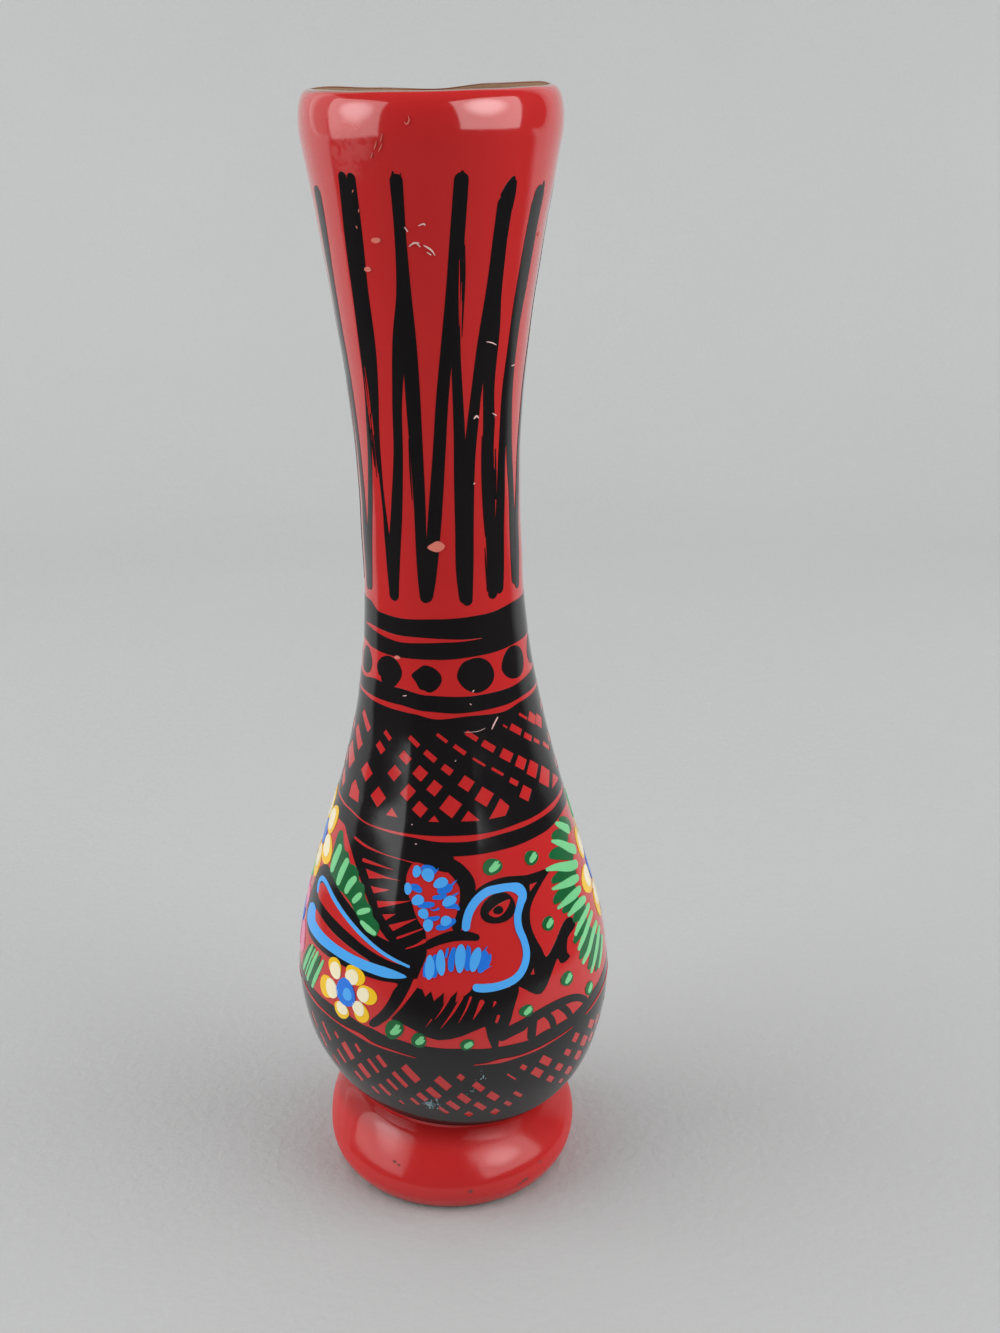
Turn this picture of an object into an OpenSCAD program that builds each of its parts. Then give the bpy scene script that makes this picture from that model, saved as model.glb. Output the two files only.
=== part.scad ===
// Clay vase: a flared neck on a round belly, standing on a separate ring foot.
// Four clay sections are stuck to each other with slip and the outside is coated with enamel.
// Millimetres. +Z is up, the axis of the vase is Z, and the foot rests on z = 0.

/* [Overall] */
// height from the resting face to the top of the lip
vase_h = 230; // [210:1:250]
// thickness of the thrown wall, enamel included
wall_t = 4.4; // [3.6:0.1:5.2]
// thickness of the enamel coat
coat_t = 0.25; // [0.15:0.05:0.4]
// thickness of each layer of joining slip
slip_t = 0.6; // [0.4:0.05:0.9]

/* [Foot] */
// outer radius where the foot meets the table
contact_r = 24.3; // [23:0.1:25.6]
// largest radius of the foot
foot_r = 27.7; // [26.4:0.1:29.4]
// height of the largest radius of the foot
foot_z = 8.4; // [7:0.1:9.5]
// inner radius of the ring at the table
foot_bore_low_r = 17.2; // [16:0.1:18.5]
// inner radius of the ring at the top, which takes the boss of the belly
foot_bore_r = 14.6; // [13:0.1:15.8]
// chamfer of bare clay at the outer edge of the resting face
foot_edge = 0.5; // [0.3:0.1:0.8]
// share of the lower foot curve that is left bare above the table
enamel_low_share = 0.16; // [0.1:0.02:0.25]

/* [Belly] */
// radius of the crease between the foot and the belly
crease_r = 22; // [21:0.1:23]
// height of the crease
crease_z = 19.6; // [18:0.1:20.8]
// largest radius of the belly
belly_r = 34; // [32:0.1:36]
// height of the largest radius of the belly
belly_z = 48; // [44:0.5:52]
// length of the boss that enters the foot ring
boss_h = 2.6; // [2:0.1:3.4]
// gap for slip between the boss and the foot ring
boss_gap = 0.5; // [0.3:0.05:0.8]

/* [Neck] */
// smallest radius of the neck
waist_r = 16.1; // [15:0.1:17.5]
// height of the smallest radius of the neck
waist_z = 140; // [132:0.5:148]
// share of the shoulder curve where the neck is joined to the belly
joint_share = 0.84; // [0.78:0.01:0.9]
// length of the tongue of the belly inside the neck
tongue_l = 6; // [4:0.5:8]
// share of the wall taken by the tongue
tongue_share = 0.5; // [0.4:0.05:0.6]

/* [Lip] */
// outer radius where the lip coil starts
lip_r = 24.4; // [22.5:0.1:26]
// height of the lip coil
lip_h = 9; // [7:0.5:11]
// outward lean of the neck where it meets the lip, radius per height
lip_lean = 0.19; // [0.12:0.01:0.26]
// radius of the top of the lip, measured in from the start of the coil
lip_crown = 2.2; // [1.8:0.1:2.6]

/* [Hidden] */
// straight pieces in a short and in a long curve of the section
short_steps = 10;
long_steps = 22;
// lengths of the curve handles that shape the section
contact_pull = [1.4, 1.3];
foot_pull = [4.6, 4.9];
crease_pull = [4, 1.9];
bowl_pull = [6.4, 4];
belly_pull = [14, 21.6];
waist_pull = [42, 20];
lip_pull = [50, 2.6];
crown_pull = [2.7, 1.3];
inner_lip_pull = 4;

lip_z = vase_h - lip_h;
crown_r = lip_r - lip_crown;
seat_r = crease_r - coat_t;
boss_r = foot_bore_r - boss_gap;
foot_top_z = crease_z - slip_t;
tongue_d = wall_t * (1 - tongue_share);

$fn = 96;

// point on a curve of four control points at share u
function bez(c, u) =
    let (v = 1 - u)
    v * v * v * c[0] + 3 * u * v * v * c[1] + 3 * u * u * v * c[2] + u * u * u * c[3];

// direction and speed of the curve at share u
function bez_rate(c, u) =
    let (v = 1 - u)
    3 * v * v * (c[1] - c[0]) + 6 * u * v * (c[2] - c[1]) + 3 * u * u * (c[3] - c[2]);

// point that lies d inside the surface that the curve draws
function inside(c, u, d) =
    let (t = bez_rate(c, u) / norm(bez_rate(c, u)))
    bez(c, u) + d * [-t[1], t[0]];

// straight pieces between two shares of a curve
function pieces(c, u0, u1) = max(1, ceil(abs(u1 - u0) * c[4]));

// points d inside the surface through the listed shares, without the first, to go on from another run
function on(c, cuts, d) =
    [for (k = [1 : len(cuts) - 1])
        let (u0 = cuts[k - 1], u1 = cuts[k], n = pieces(c, u0, u1))
        for (i = [1 : n]) inside(c, u0 + (u1 - u0) * i / n, d)];

// the same points with the first
function run(c, cuts, d) = concat([inside(c, cuts[0], d)], on(c, cuts, d));

// share of the curve that covers the length l at share u
function share(c, u, l) = l / norm(bez_rate(c, u));

// the outer line of the vase from the table up, over the lip and down inside it
foot_low_c = [[contact_r, 0],
              [contact_r + contact_pull[0], contact_pull[1]],
              [foot_r, foot_z - foot_pull[0]],
              [foot_r, foot_z],
              short_steps];
foot_top_c = [[foot_r, foot_z],
              [foot_r, foot_z + foot_pull[1]],
              [crease_r + crease_pull[0], foot_top_z - crease_pull[1]],
              [crease_r, foot_top_z],
              short_steps];
bowl_c = [[crease_r, crease_z],
          [crease_r + bowl_pull[0], crease_z + bowl_pull[1]],
          [belly_r, belly_z - belly_pull[0]],
          [belly_r, belly_z],
          long_steps];
shoulder_c = [[belly_r, belly_z],
              [belly_r, belly_z + belly_pull[1]],
              [waist_r, waist_z - waist_pull[0]],
              [waist_r, waist_z],
              long_steps];
neck_c = [[waist_r, waist_z],
          [waist_r, waist_z + waist_pull[1]],
          [lip_r - lip_lean * lip_pull[0], lip_z - lip_pull[0]],
          [lip_r, lip_z],
          long_steps];
lip_out_c = [[lip_r, lip_z],
             [lip_r + lip_lean * lip_pull[1], lip_z + lip_pull[1]],
             [crown_r + crown_pull[0], vase_h],
             [crown_r, vase_h],
             short_steps];
lip_in_end = inside(neck_c, 1, wall_t + coat_t);
lip_in_c = [[crown_r, vase_h],
            [crown_r - crown_pull[1], vase_h],
            lip_in_end + inner_lip_pull * [lip_lean, 1],
            lip_in_end,
            short_steps];

joint_top = joint_share + share(shoulder_c, joint_share, tongue_l);
neck_start = joint_share + share(shoulder_c, joint_share, slip_t);
neck_rebate = joint_top + share(shoulder_c, joint_share, slip_t);
neck_end = 1 - share(neck_c, 1, slip_t);
floor_z = inside(bowl_c, 0, wall_t)[1];

module foot_ring() {
    color([0.60, 0.42, 0.29])
        rotate_extrude()
            polygon(concat(
                [[foot_bore_low_r, 0], [contact_r - foot_edge, 0]],
                run(foot_low_c, [0, enamel_low_share, 1], coat_t),
                on(foot_top_c, [0, 1], coat_t),
                [[seat_r, foot_top_z], [foot_bore_r, foot_top_z],
                 [foot_bore_r, foot_top_z - boss_h]]));
}

module foot_slip_seam() {
    color([0.52, 0.35, 0.24])
        rotate_extrude()
            polygon([[boss_r, crease_z - boss_h], [foot_bore_r, crease_z - boss_h],
                     [foot_bore_r, foot_top_z], [seat_r, foot_top_z],
                     [seat_r, crease_z], [boss_r, crease_z]]);
}

module belly() {
    color([0.62, 0.44, 0.30])
        rotate_extrude()
            polygon(concat(
                [[0, crease_z - boss_h], [boss_r, crease_z - boss_h],
                 [boss_r, crease_z], [seat_r, crease_z]],
                run(bowl_c, [0, 1], coat_t),
                on(shoulder_c, [0, joint_share], coat_t),
                run(shoulder_c, [joint_share, joint_top], tongue_d),
                run(shoulder_c, [joint_top, 0], wall_t),
                on(bowl_c, [1, 0], wall_t),
                [[0, floor_z]]));
}

module neck_slip_seam() {
    color([0.52, 0.35, 0.24])
        rotate_extrude()
            polygon(concat(
                run(shoulder_c, [joint_share, neck_start], coat_t),
                run(shoulder_c, [neck_start, neck_rebate], tongue_d - slip_t),
                [inside(shoulder_c, neck_rebate, wall_t),
                 inside(shoulder_c, joint_top, wall_t)],
                run(shoulder_c, [joint_top, joint_share], tongue_d)));
}

module neck() {
    color([0.62, 0.44, 0.30])
        rotate_extrude()
            polygon(concat(
                run(shoulder_c, [neck_start, 1], coat_t),
                on(neck_c, [0, neck_end], coat_t),
                run(neck_c, [neck_end, 0], wall_t),
                on(shoulder_c, [1, neck_rebate], wall_t),
                run(shoulder_c, [neck_rebate, neck_start], tongue_d - slip_t)));
}

module lip_slip_seam() {
    color([0.52, 0.35, 0.24])
        rotate_extrude()
            polygon([inside(neck_c, neck_end, wall_t), inside(neck_c, neck_end, coat_t),
                     inside(neck_c, 1, coat_t), inside(neck_c, 1, wall_t)]);
}

module lip() {
    color([0.62, 0.44, 0.30])
        rotate_extrude()
            polygon(concat(
                run(lip_out_c, [0, 1], coat_t),
                on(lip_in_c, [0, 1], coat_t)));
}

module red_enamel_coat() {
    color([0.72, 0.10, 0.12])
        rotate_extrude()
            polygon(concat(
                run(foot_low_c, [enamel_low_share, 1], 0),
                on(foot_top_c, [0, 1], 0),
                run(bowl_c, [0, 1], 0),
                on(shoulder_c, [0, joint_share, neck_start, 1], 0),
                on(neck_c, [0, neck_end, 1], 0),
                on(lip_out_c, [0, 1], 0),
                run(lip_out_c, [1, 0], coat_t),
                on(neck_c, [1, neck_end, 0], coat_t),
                on(shoulder_c, [1, neck_start, joint_share, 0], coat_t),
                on(bowl_c, [1, 0], coat_t),
                [[seat_r, crease_z], [seat_r, foot_top_z]],
                run(foot_top_c, [1, 0], coat_t),
                on(foot_low_c, [1, enamel_low_share], coat_t)));
}

foot_ring();
foot_slip_seam();
belly();
neck_slip_seam();
neck();
lip_slip_seam();
lip();
red_enamel_coat();
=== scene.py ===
import math
import random
from bisect import bisect_left

import bmesh
import bpy
from mathutils import Matrix, Vector


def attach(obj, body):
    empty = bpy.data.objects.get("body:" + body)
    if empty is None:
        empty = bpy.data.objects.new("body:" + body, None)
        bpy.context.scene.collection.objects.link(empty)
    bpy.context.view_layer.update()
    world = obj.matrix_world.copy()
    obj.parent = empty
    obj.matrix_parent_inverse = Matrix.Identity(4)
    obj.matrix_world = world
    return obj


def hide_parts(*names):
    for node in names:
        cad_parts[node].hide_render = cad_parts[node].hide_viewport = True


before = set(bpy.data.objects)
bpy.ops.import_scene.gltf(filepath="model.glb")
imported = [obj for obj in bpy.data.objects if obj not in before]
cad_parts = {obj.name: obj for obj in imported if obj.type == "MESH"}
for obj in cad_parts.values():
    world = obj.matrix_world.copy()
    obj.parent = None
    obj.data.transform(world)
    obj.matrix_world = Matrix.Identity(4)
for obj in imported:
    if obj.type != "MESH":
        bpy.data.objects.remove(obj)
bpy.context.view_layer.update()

# One millimetre in the scene's metres
MM = 0.001
# Height of the vase, and the thicknesses of its wall, enamel coat and joining slip
VASE_H = 230
WALL = 4.4
COAT = 0.25
SLIP_T = 0.6
# Edges of the crease between foot and belly
CREASE_R = 22
FOOT_TOP_Z = 19
CREASE_Z = 19.6

# Section of the vase from the resting face up, over the lip and down inside it, as control points
FOOT_LOW = ((24.3, 0), (25.7, 1.3), (27.7, 3.8), (27.7, 8.4))
FOOT_TOP = ((27.7, 8.4), (27.7, 13.3), (26, 17.1), (22, 19))
BOWL = ((22, 19.6), (28.4, 23.6), (34, 34), (34, 48))
SHOULDER = ((34, 48), (34, 69.6), (16.1, 98), (16.1, 140))
NECK = ((16.1, 140), (16.1, 160), (14.9, 171), (24.4, 221))
LIP_OUT = ((24.4, 221), (24.9, 223.6), (24.9, 230), (22.2, 230))
LIP_IN = ((22.2, 230), (20.9, 230), (20.6, 225.9), (19.8, 221.9))
# How far the hand-made vase leans to the right of its axis, by height
SWAY = ((0, -1.2), (18.6, -1.2), (20.6, -0.1), (32, 0.15), (40, 0.2), (55, -0.05), (70, -0.2), (82, 0),
        (95, 0.4), (108, 0.55), (120, 0.4), (137, 0.24), (152, 0), (170, -0.22), (190, -0.25), (205, -0.1),
        (215, 0.15), (230, 0.3))
# How far the rim dips, by degrees round from the front
RIM_DIP = ((-180, 0.5), (-150, 0.1), (-120, -0.25), (-90, 0), (-60, 0.3), (-30, 0.6), (0, 0.7), (30, 0.55),
           (60, 0.25), (90, -0.1), (115, -0.6), (150, -0.4), (180, 0.5))
# Height from which the dip of the rim fades in
DIP_START = 212
# Fall to the right of the joint between foot and belly, per millimetre, and where it fades in and out
FOOT_TILT = 0.07
TILT_IN = (8, 18.5)
TILT_OUT = (45, 20)
# Small unevenness of a thrown wall: out of round, wavering and ringed by fingers
OVAL = 0.09
WAVER = 0.05
RINGS = 0.025


def bez(curve, u):
    """The point of a curve of four control points at share u."""
    v = 1 - u
    weights = (v ** 3, 3 * u * v * v, 3 * u * u * v, u ** 3)
    return sum((w * Vector(p) for w, p in zip(weights, curve)), Vector((0, 0)))


def inside(curve, u, depth):
    """The point that lies depth inside the surface that the curve draws."""
    near, far = max(u - 0.001, 0), min(u + 0.001, 1)
    heading = (bez(curve, far) - bez(curve, near)).normalized()
    return bez(curve, u) + depth * Vector((-heading.y, heading.x))


def run(curve, start, end, depth, count):
    """Points along a curve from one share to another, depth inside the surface."""
    return [inside(curve, start + (end - start) * i / count, depth) for i in range(count + 1)]


# Points up the skin
skin_line = [bez(c, i / 400) for c in (FOOT_LOW, FOOT_TOP, BOWL, SHOULDER, NECK, LIP_OUT)
             for i in range(401)]
skin_heights = [p.y for p in skin_line]


def radius(z):
    """Radius of the enamel at a height."""
    i = min(max(bisect_left(skin_heights, z), 1), len(skin_line) - 1)
    p, q = skin_line[i - 1], skin_line[i]
    share = 0 if q.y == p.y else (z - p.y) / (q.y - p.y)
    return p.x + (q.x - p.x) * share


def arc(z):
    """Millimetres round the vase for one degree at a height."""
    return radius(z) * math.pi / 180


def fade(x, start, end):
    """An easy rise from 0 at start to 1 at end."""
    share = min(max((x - start) / (end - start), 0), 1)
    return share * share * (3 - 2 * share)


def along(marks, x):
    """The value at x on an easy line through (x, value) marks."""
    i = min(max(bisect_left([m[0] for m in marks], x), 1), len(marks) - 1)
    (x0, v0), (x1, v1) = marks[i - 1], marks[i]
    return v0 + (v1 - v0) * fade(x, x0, x1)


def thrown(r, z, turn):
    """A point of the turned form, with the small unevenness of a hand-thrown pot. Turn is in radians."""
    lean = along(SWAY, z)
    r += OVAL * math.sin(2 * turn + 0.6) * min(r / 20, 1)
    r += WAVER * math.sin(3 * turn + 0.04 * z) * min(r / 20, 1)
    r += RINGS * math.sin(0.45 * z + 0.8 * math.sin(turn)) * min(r / 10, 1)
    x, y = r * math.sin(turn), -r * math.cos(turn)
    z -= along(RIM_DIP, math.degrees(turn)) * fade(z, DIP_START, VASE_H)
    z -= FOOT_TILT * x * fade(z, *TILT_IN) * fade(z, *TILT_OUT)
    return Vector((x + lean, y, z)) * MM


def skin(a, z, lift):
    """A point on the enamel, a degrees round from the front, raised by lift."""
    slope = radius(z + 0.5) - radius(z - 0.5)
    across = 1 / math.hypot(1, slope)
    return thrown(radius(z) + lift * across, z - lift * slope * across, math.radians(a))


def skin_normal(a, z):
    """Which way the enamel faces, a degrees round from the front."""
    round_it = skin(a + 0.5, z, 0) - skin(a - 0.5, z, 0)
    up_it = skin(a, z + 0.3, 0) - skin(a, z - 0.3, 0)
    return round_it.cross(up_it).normalized()


def drawn(a, z):
    """Degrees round the leaning vase for a mark whose degrees were read as if it stood straight."""
    return a - math.degrees(along(SWAY, z) / radius(z)) * math.cos(math.radians(a))


# Shader sums and nodes


class Val:
    """A socket whose sums add Math nodes."""

    def __init__(self, finish, socket):
        self.finish = finish
        self.socket = socket

    def sum_with(self, operation, first, second):
        return self.finish.node("ShaderNodeMath", {"operation": operation}, {0: first, 1: second})

    def __add__(self, other):
        return self.sum_with("ADD", self, other)

    def __radd__(self, other):
        return self.sum_with("ADD", other, self)

    def __sub__(self, other):
        return self.sum_with("SUBTRACT", self, other)

    def __rsub__(self, other):
        return self.sum_with("SUBTRACT", other, self)

    def __mul__(self, other):
        return self.sum_with("MULTIPLY", self, other)

    def __rmul__(self, other):
        return self.sum_with("MULTIPLY", other, self)


class Finish:
    """A material, with its nodes added by name."""

    def __init__(self, name):
        self.material = bpy.data.materials.new(name)
        self.material.use_nodes = True
        self.tree = self.material.node_tree
        self.shader = self.tree.nodes["Principled BSDF"]
        self.place = self.node("ShaderNodeTexCoord", {}, {}, "Object")

    def node(self, kind, settings, sockets, out=0):
        added = self.tree.nodes.new(kind)
        for key, value in settings.items():
            if key == "stops":
                for stop, (spot, tone) in zip(added.color_ramp.elements, value):
                    stop.position = spot
                    stop.color = (tone, tone, tone, 1)
            else:
                setattr(added, key, value)
        for key, value in sockets.items():
            self.plug(added.inputs[key], value)
        return Val(self, added.outputs[out])

    def plug(self, socket, value):
        if isinstance(value, Val):
            self.tree.links.new(value.socket, socket)
        else:
            socket.default_value = value

    def set(self, **values):
        for key, value in values.items():
            self.plug(self.shader.inputs[key.replace("_", " ").title()], value)

    def noise(self, scale, detail=2.0, stretch=(1, 1, 1)):
        spot = self.node("ShaderNodeMapping", {}, {"Vector": self.place, "Scale": stretch})
        return self.node("ShaderNodeTexNoise", {}, {"Vector": spot, "Scale": scale, "Detail": detail})

    def ramp(self, value, low, high):
        return self.node("ShaderNodeValToRGB", {"stops": ((low, 0), (high, 1))}, {"Fac": value})

    def blend(self, share, first, second):
        return self.node("ShaderNodeMix", {"data_type": "RGBA"}, {0: share, 6: first, 7: second}, 2)

    def rise(self, value, low, high):
        """A smooth rise from 0 at low to 1 at high."""
        settings = {"interpolation_type": "SMOOTHSTEP"}
        return self.node("ShaderNodeMapRange", settings, {0: value, 1: low, 2: high})

    def vector(self, operation, first, second=(0, 0, 0)):
        """A sum with vectors: the number that it gives, or else the vector."""
        gives_number = operation in ("DISTANCE", "LENGTH", "DOT_PRODUCT")
        settings = {"operation": operation}
        return self.node("ShaderNodeVectorMath", settings, {0: first, 1: second}, int(gives_number))

    def bump(self, height, strength, distance, **over):
        sockets = {"Height": height, "Strength": strength, "Distance": distance, **over}
        return self.node("ShaderNodeBump", {}, sockets, "Normal")


def rgb(r, g, b):
    return (r, g, b, 1)


def enamel(name, colour, shade, gloss=0.10, streak=0.5, dents=0.05):
    """Brushed gloss enamel: a colour, its thinner or dirtier shade, and how rough the gloss is."""
    f = Finish(name)
    broad = f.ramp(f.noise(45, 3), 0.35, 0.75)
    fine = f.ramp(f.noise(420, 4, (1, 1, 0.18)), 0.3, 0.8)
    worn = f.noise(1400, 3)
    tone = f.blend(broad * streak, colour, shade)
    f.tone = f.blend(fine * (0.35 * streak), tone, shade)
    f.dents = f.bump(f.noise(160, 2) * 0.8 + f.noise(900, 2, (1, 1, 0.3)) * 0.2, dents, 0.0006)
    f.set(base_color=f.tone, normal=f.dents)
    f.set(roughness=fine * 0.05 + worn * 0.05 + (gloss - 0.04))
    f.shader.inputs["IOR"].default_value = 1.45
    f.shader.inputs["Coat Weight"].default_value = 0.14
    f.shader.inputs["Coat Roughness"].default_value = 0.06
    return f


def fired_clay(name, colour, shade):
    """Bare fired clay: warm brown with fine grit and the rings of the potter's fingers."""
    f = Finish(name)
    grit = f.ramp(f.noise(1800, 4), 0.35, 0.7)
    patch = f.ramp(f.noise(60, 3), 0.3, 0.75)
    rings = f.noise(380, 2, (0.05, 0.05, 1))
    tone = f.blend(patch * 0.7, colour, shade)
    f.set(base_color=f.blend(grit * 0.35, tone, shade))
    f.set(roughness=grit * 0.12 + 0.78)
    f.set(normal=f.bump(rings * 0.7 + grit * 0.3, 0.35, 0.0005))
    return f.material


def felt(name, colour, shade):
    """Matt felt, cloudy and fibrous."""
    f = Finish(name)
    fibre = f.noise(900, 6)
    cloud = f.ramp(f.noise(5, 3), 0.3, 0.7)
    f.set(base_color=f.blend(fibre * 0.25 + cloud * 0.2, colour, shade))
    f.set(roughness=0.95)
    f.set(normal=f.bump(f.noise(420, 6), 0.25, 0.0012))
    f.shader.inputs["Specular IOR Level"].default_value = 0.1
    return f.material


# Heights in metres between which each look of the red ground comes in
FOOT_DULL = (0.021, 0.016)
FOOT_FLAT = (0.018, 0.003)
# Heights between which the red is darkened in the crease under the belly as painted shade
CREASE_SHADE_FROM = (0.0155, 0.0185)
CREASE_SHADE_TO = (0.0215, 0.0195)
NECK_GLOSS = (0.12, 0.16)
RIM_WORN = (0.226, 0.2285)
# Distances from the axis between which the crown of the lip is worn to the clay
RIM_REACH = (0.0232, 0.0226)
# Middle of the scuffed patch under the lip, and the distances from it where it starts and is full
SCUFF = (-0.0133, -0.0200, 0.2205)
SCUFF_REACH = (0.0075, 0.002)


def red_enamel():
    """The red ground: darkened in the crease as painted shade, duller and flatter on the foot, scuffed and
    worn at the lip.
    """
    f = enamel("red_enamel", rgb(0.63, 0.026, 0.0265), rgb(0.555, 0.020, 0.0205), dents=0.1)
    height = f.node("ShaderNodeSeparateXYZ", {}, {0: f.place}, 2)
    foot = f.rise(height, *FOOT_DULL)
    crease_shade = f.rise(height, *CREASE_SHADE_FROM) * f.rise(height, *CREASE_SHADE_TO)
    away = f.vector("DISTANCE", f.place, SCUFF)
    scuffed = f.rise(away, *SCUFF_REACH) * f.ramp(f.noise(420, 5), 0.36, 0.6)
    worn = f.ramp(f.noise(120, 5), 0.3, 0.75)
    reach = f.vector("LENGTH", f.vector("MULTIPLY", f.place, (1, 1, 0)))
    rim = f.rise(reach, *RIM_REACH) * f.rise(height, *RIM_WORN)
    # Painted shade: the red is darkened in the crease between foot and belly
    crease_shaded = f.blend(crease_shade * 0.5, f.tone, rgb(0.30, 0.008, 0.008))
    f.set(base_color=f.blend(rim * 0.85, crease_shaded, rgb(0.25, 0.135, 0.075)))
    f.set(roughness=foot * (worn * 0.05 + 0.03) + worn * 0.05 + scuffed * 0.42 + 0.08)
    f.set(coat_weight=f.rise(height, *NECK_GLOSS) * 0.5 - foot * 0.36 + 0.4)
    flattened = f.rise(height, *FOOT_FLAT)
    f.set(normal=f.bump(flattened + scuffed * f.noise(1500, 2) * 0.012, 1, 0.0045, Normal=f.dents))
    return f.material


RED = red_enamel()
BLACK = enamel("black_enamel", rgb(0.009, 0.0078, 0.0088), rgb(0.015, 0.0125, 0.013)).material
LIGHT_BLUE = enamel("light_blue_enamel", rgb(0.09, 0.46, 1.0), rgb(0.055, 0.34, 0.92), 0.18).material
MID_BLUE = enamel("mid_blue_enamel", rgb(0.014, 0.21, 0.86), rgb(0.02, 0.14, 0.62), 0.18).material
DARK_GREEN = enamel("dark_green_enamel", rgb(0.008, 0.15, 0.042), rgb(0.009, 0.09, 0.026), 0.18,
                    0.8).material
LIGHT_GREEN = enamel("light_green_enamel", rgb(0.25, 0.74, 0.34), rgb(0.13, 0.55, 0.21), 0.18, 0.6).material
YELLOW = enamel("yellow_enamel", rgb(1.0, 0.63, 0.012), rgb(0.96, 0.50, 0.009), 0.18).material
CREAM = enamel("cream_enamel", rgb(1.0, 0.93, 0.68), rgb(0.97, 0.78, 0.44), 0.18, 0.5).material
PINK = enamel("pink_enamel", rgb(0.86, 0.16, 0.36), rgb(0.90, 0.32, 0.47), 0.18).material
CHALK = enamel("bared_undercoat", rgb(0.78, 0.15, 0.11), rgb(0.85, 0.30, 0.22), 0.45).material
SCRATCH = enamel("scratched_enamel", rgb(0.98, 0.66, 0.62), rgb(0.80, 0.45, 0.42), 0.5).material
SPECK = enamel("thin_blue_speck", rgb(0.30, 0.45, 0.50), rgb(0.16, 0.24, 0.27), 0.3).material
CLAY = fired_clay("fired_clay", rgb(0.32, 0.18, 0.095), rgb(0.20, 0.105, 0.055))
WORN = fired_clay("worn_brown_spot", rgb(0.29, 0.055, 0.045), rgb(0.19, 0.045, 0.035))
SLIP = fired_clay("joining_slip", rgb(0.24, 0.13, 0.07), rgb(0.16, 0.08, 0.04))


# Turned pieces


def made(name, bm, material):
    """A smooth object at the origin."""
    mesh = bpy.data.meshes.new(name)
    bm.to_mesh(mesh)
    bm.free()
    mesh.polygons.foreach_set("use_smooth", [True] * len(mesh.polygons))
    mesh.materials.append(material)
    thing = bpy.data.objects.new(name, mesh)
    bpy.context.scene.collection.objects.link(thing)
    return thing


def keep(name, bm, material, nodes=(), normals=None):
    """A piece of the vase, with the CAD nodes that it replaces or with its own normals."""
    piece = made(name, bm, material)
    if normals:
        piece.data.normals_split_custom_set_from_vertices(normals)
    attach(piece, "root")
    if nodes:
        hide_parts(*nodes)


def in_crease(co):
    """Whether a point of the turned form lies on the sharp edges of the crease."""
    height, reach = co.z / MM, co.to_2d().length / MM
    return FOOT_TOP_Z - 0.01 < height < CREASE_Z + 0.01 and reach > CREASE_R - 0.1


def turned(name, section, material, nodes, closed=True, ring=160):
    """A piece turned on the wheel from its section."""
    bm = bmesh.new()
    line = [bm.verts.new((p[0] * MM, 0, p[1] * MM)) for p in section]
    edges = [bm.edges.new(pair) for pair in zip(line, line[1:])]
    if closed:
        edges.append(bm.edges.new((line[-1], line[0])))
    bmesh.ops.spin(bm, geom=line + edges, cent=(0, 0, 0), axis=(0, 0, 1), angle=math.tau, steps=ring,
                   use_merge=True)
    bmesh.ops.remove_doubles(bm, verts=bm.verts, dist=1e-7)
    bmesh.ops.recalc_face_normals(bm, faces=bm.faces)
    for e in bm.edges:
        e.smooth = not all(in_crease(v.co) for v in e.verts)
    for v in bm.verts:
        v.co = thrown(math.hypot(v.co.x, v.co.y) / MM, v.co.z / MM, math.atan2(v.co.x, -v.co.y))
    keep(name, bm, material, nodes)


def without_first(points):
    """Points that go on from another run that ends where they start."""
    return points[1:]


# Shares of the shoulder and neck where the sections are joined, as in the part's source
JOINT = 0.84
JOINT_TOP = 0.893
SLIP_SHARE = 0.0053
NECK_END = 0.9961
TONGUE = WALL / 2
# Radii of the seat and the boss under the belly, and of the foot's bore and resting face
SEAT = CREASE_R - COAT
BOSS = 14.1
BORE = 14.6
REST_IN = 17.2
REST_OUT = 23.8
# Heights of the lower ends of the boss and the upper bore
BOSS_Z = 17
BORE_Z = 16.4
# Share of the lower foot curve that is left bare
BARE = 0.16

turned("foot_ring_thrown", [(REST_IN, 0), (REST_OUT, 0)]
       + run(FOOT_LOW, 0, 1, COAT, 10)
       + without_first(run(FOOT_TOP, 0, 1, COAT, 10))
       + [(SEAT, FOOT_TOP_Z), (BORE, FOOT_TOP_Z), (BORE, BORE_Z)],
       CLAY, ["foot_ring"])
turned("belly_thrown", [(0, BOSS_Z), (BOSS, BOSS_Z), (BOSS, CREASE_Z), (SEAT, CREASE_Z)]
       + run(BOWL, 0, 1, COAT, 16)
       + without_first(run(SHOULDER, 0, JOINT, COAT, 24))
       + run(SHOULDER, JOINT, JOINT_TOP, TONGUE, 2)
       + run(SHOULDER, JOINT_TOP, 0, WALL, 24)
       + without_first(run(BOWL, 1, 0, WALL, 16))
       + [(0, inside(BOWL, 0, WALL).y)],
       CLAY, ["belly"], closed=False, ring=96)
turned("neck_thrown", run(SHOULDER, JOINT + SLIP_SHARE, 1, COAT, 6)
       + without_first(run(NECK, 0, NECK_END, COAT, 30))
       + run(NECK, NECK_END, 0, WALL, 30)
       + without_first(run(SHOULDER, 1, JOINT_TOP + SLIP_SHARE, WALL, 6))
       + run(SHOULDER, JOINT_TOP + SLIP_SHARE, JOINT + SLIP_SHARE, TONGUE - SLIP_T, 2),
       CLAY, ["neck"], ring=96)
turned("lip_coil", run(LIP_OUT, 0, 1, COAT, 14)
       + without_first(run(LIP_IN, 0, 1, COAT, 14)),
       CLAY, ["lip"])
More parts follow.
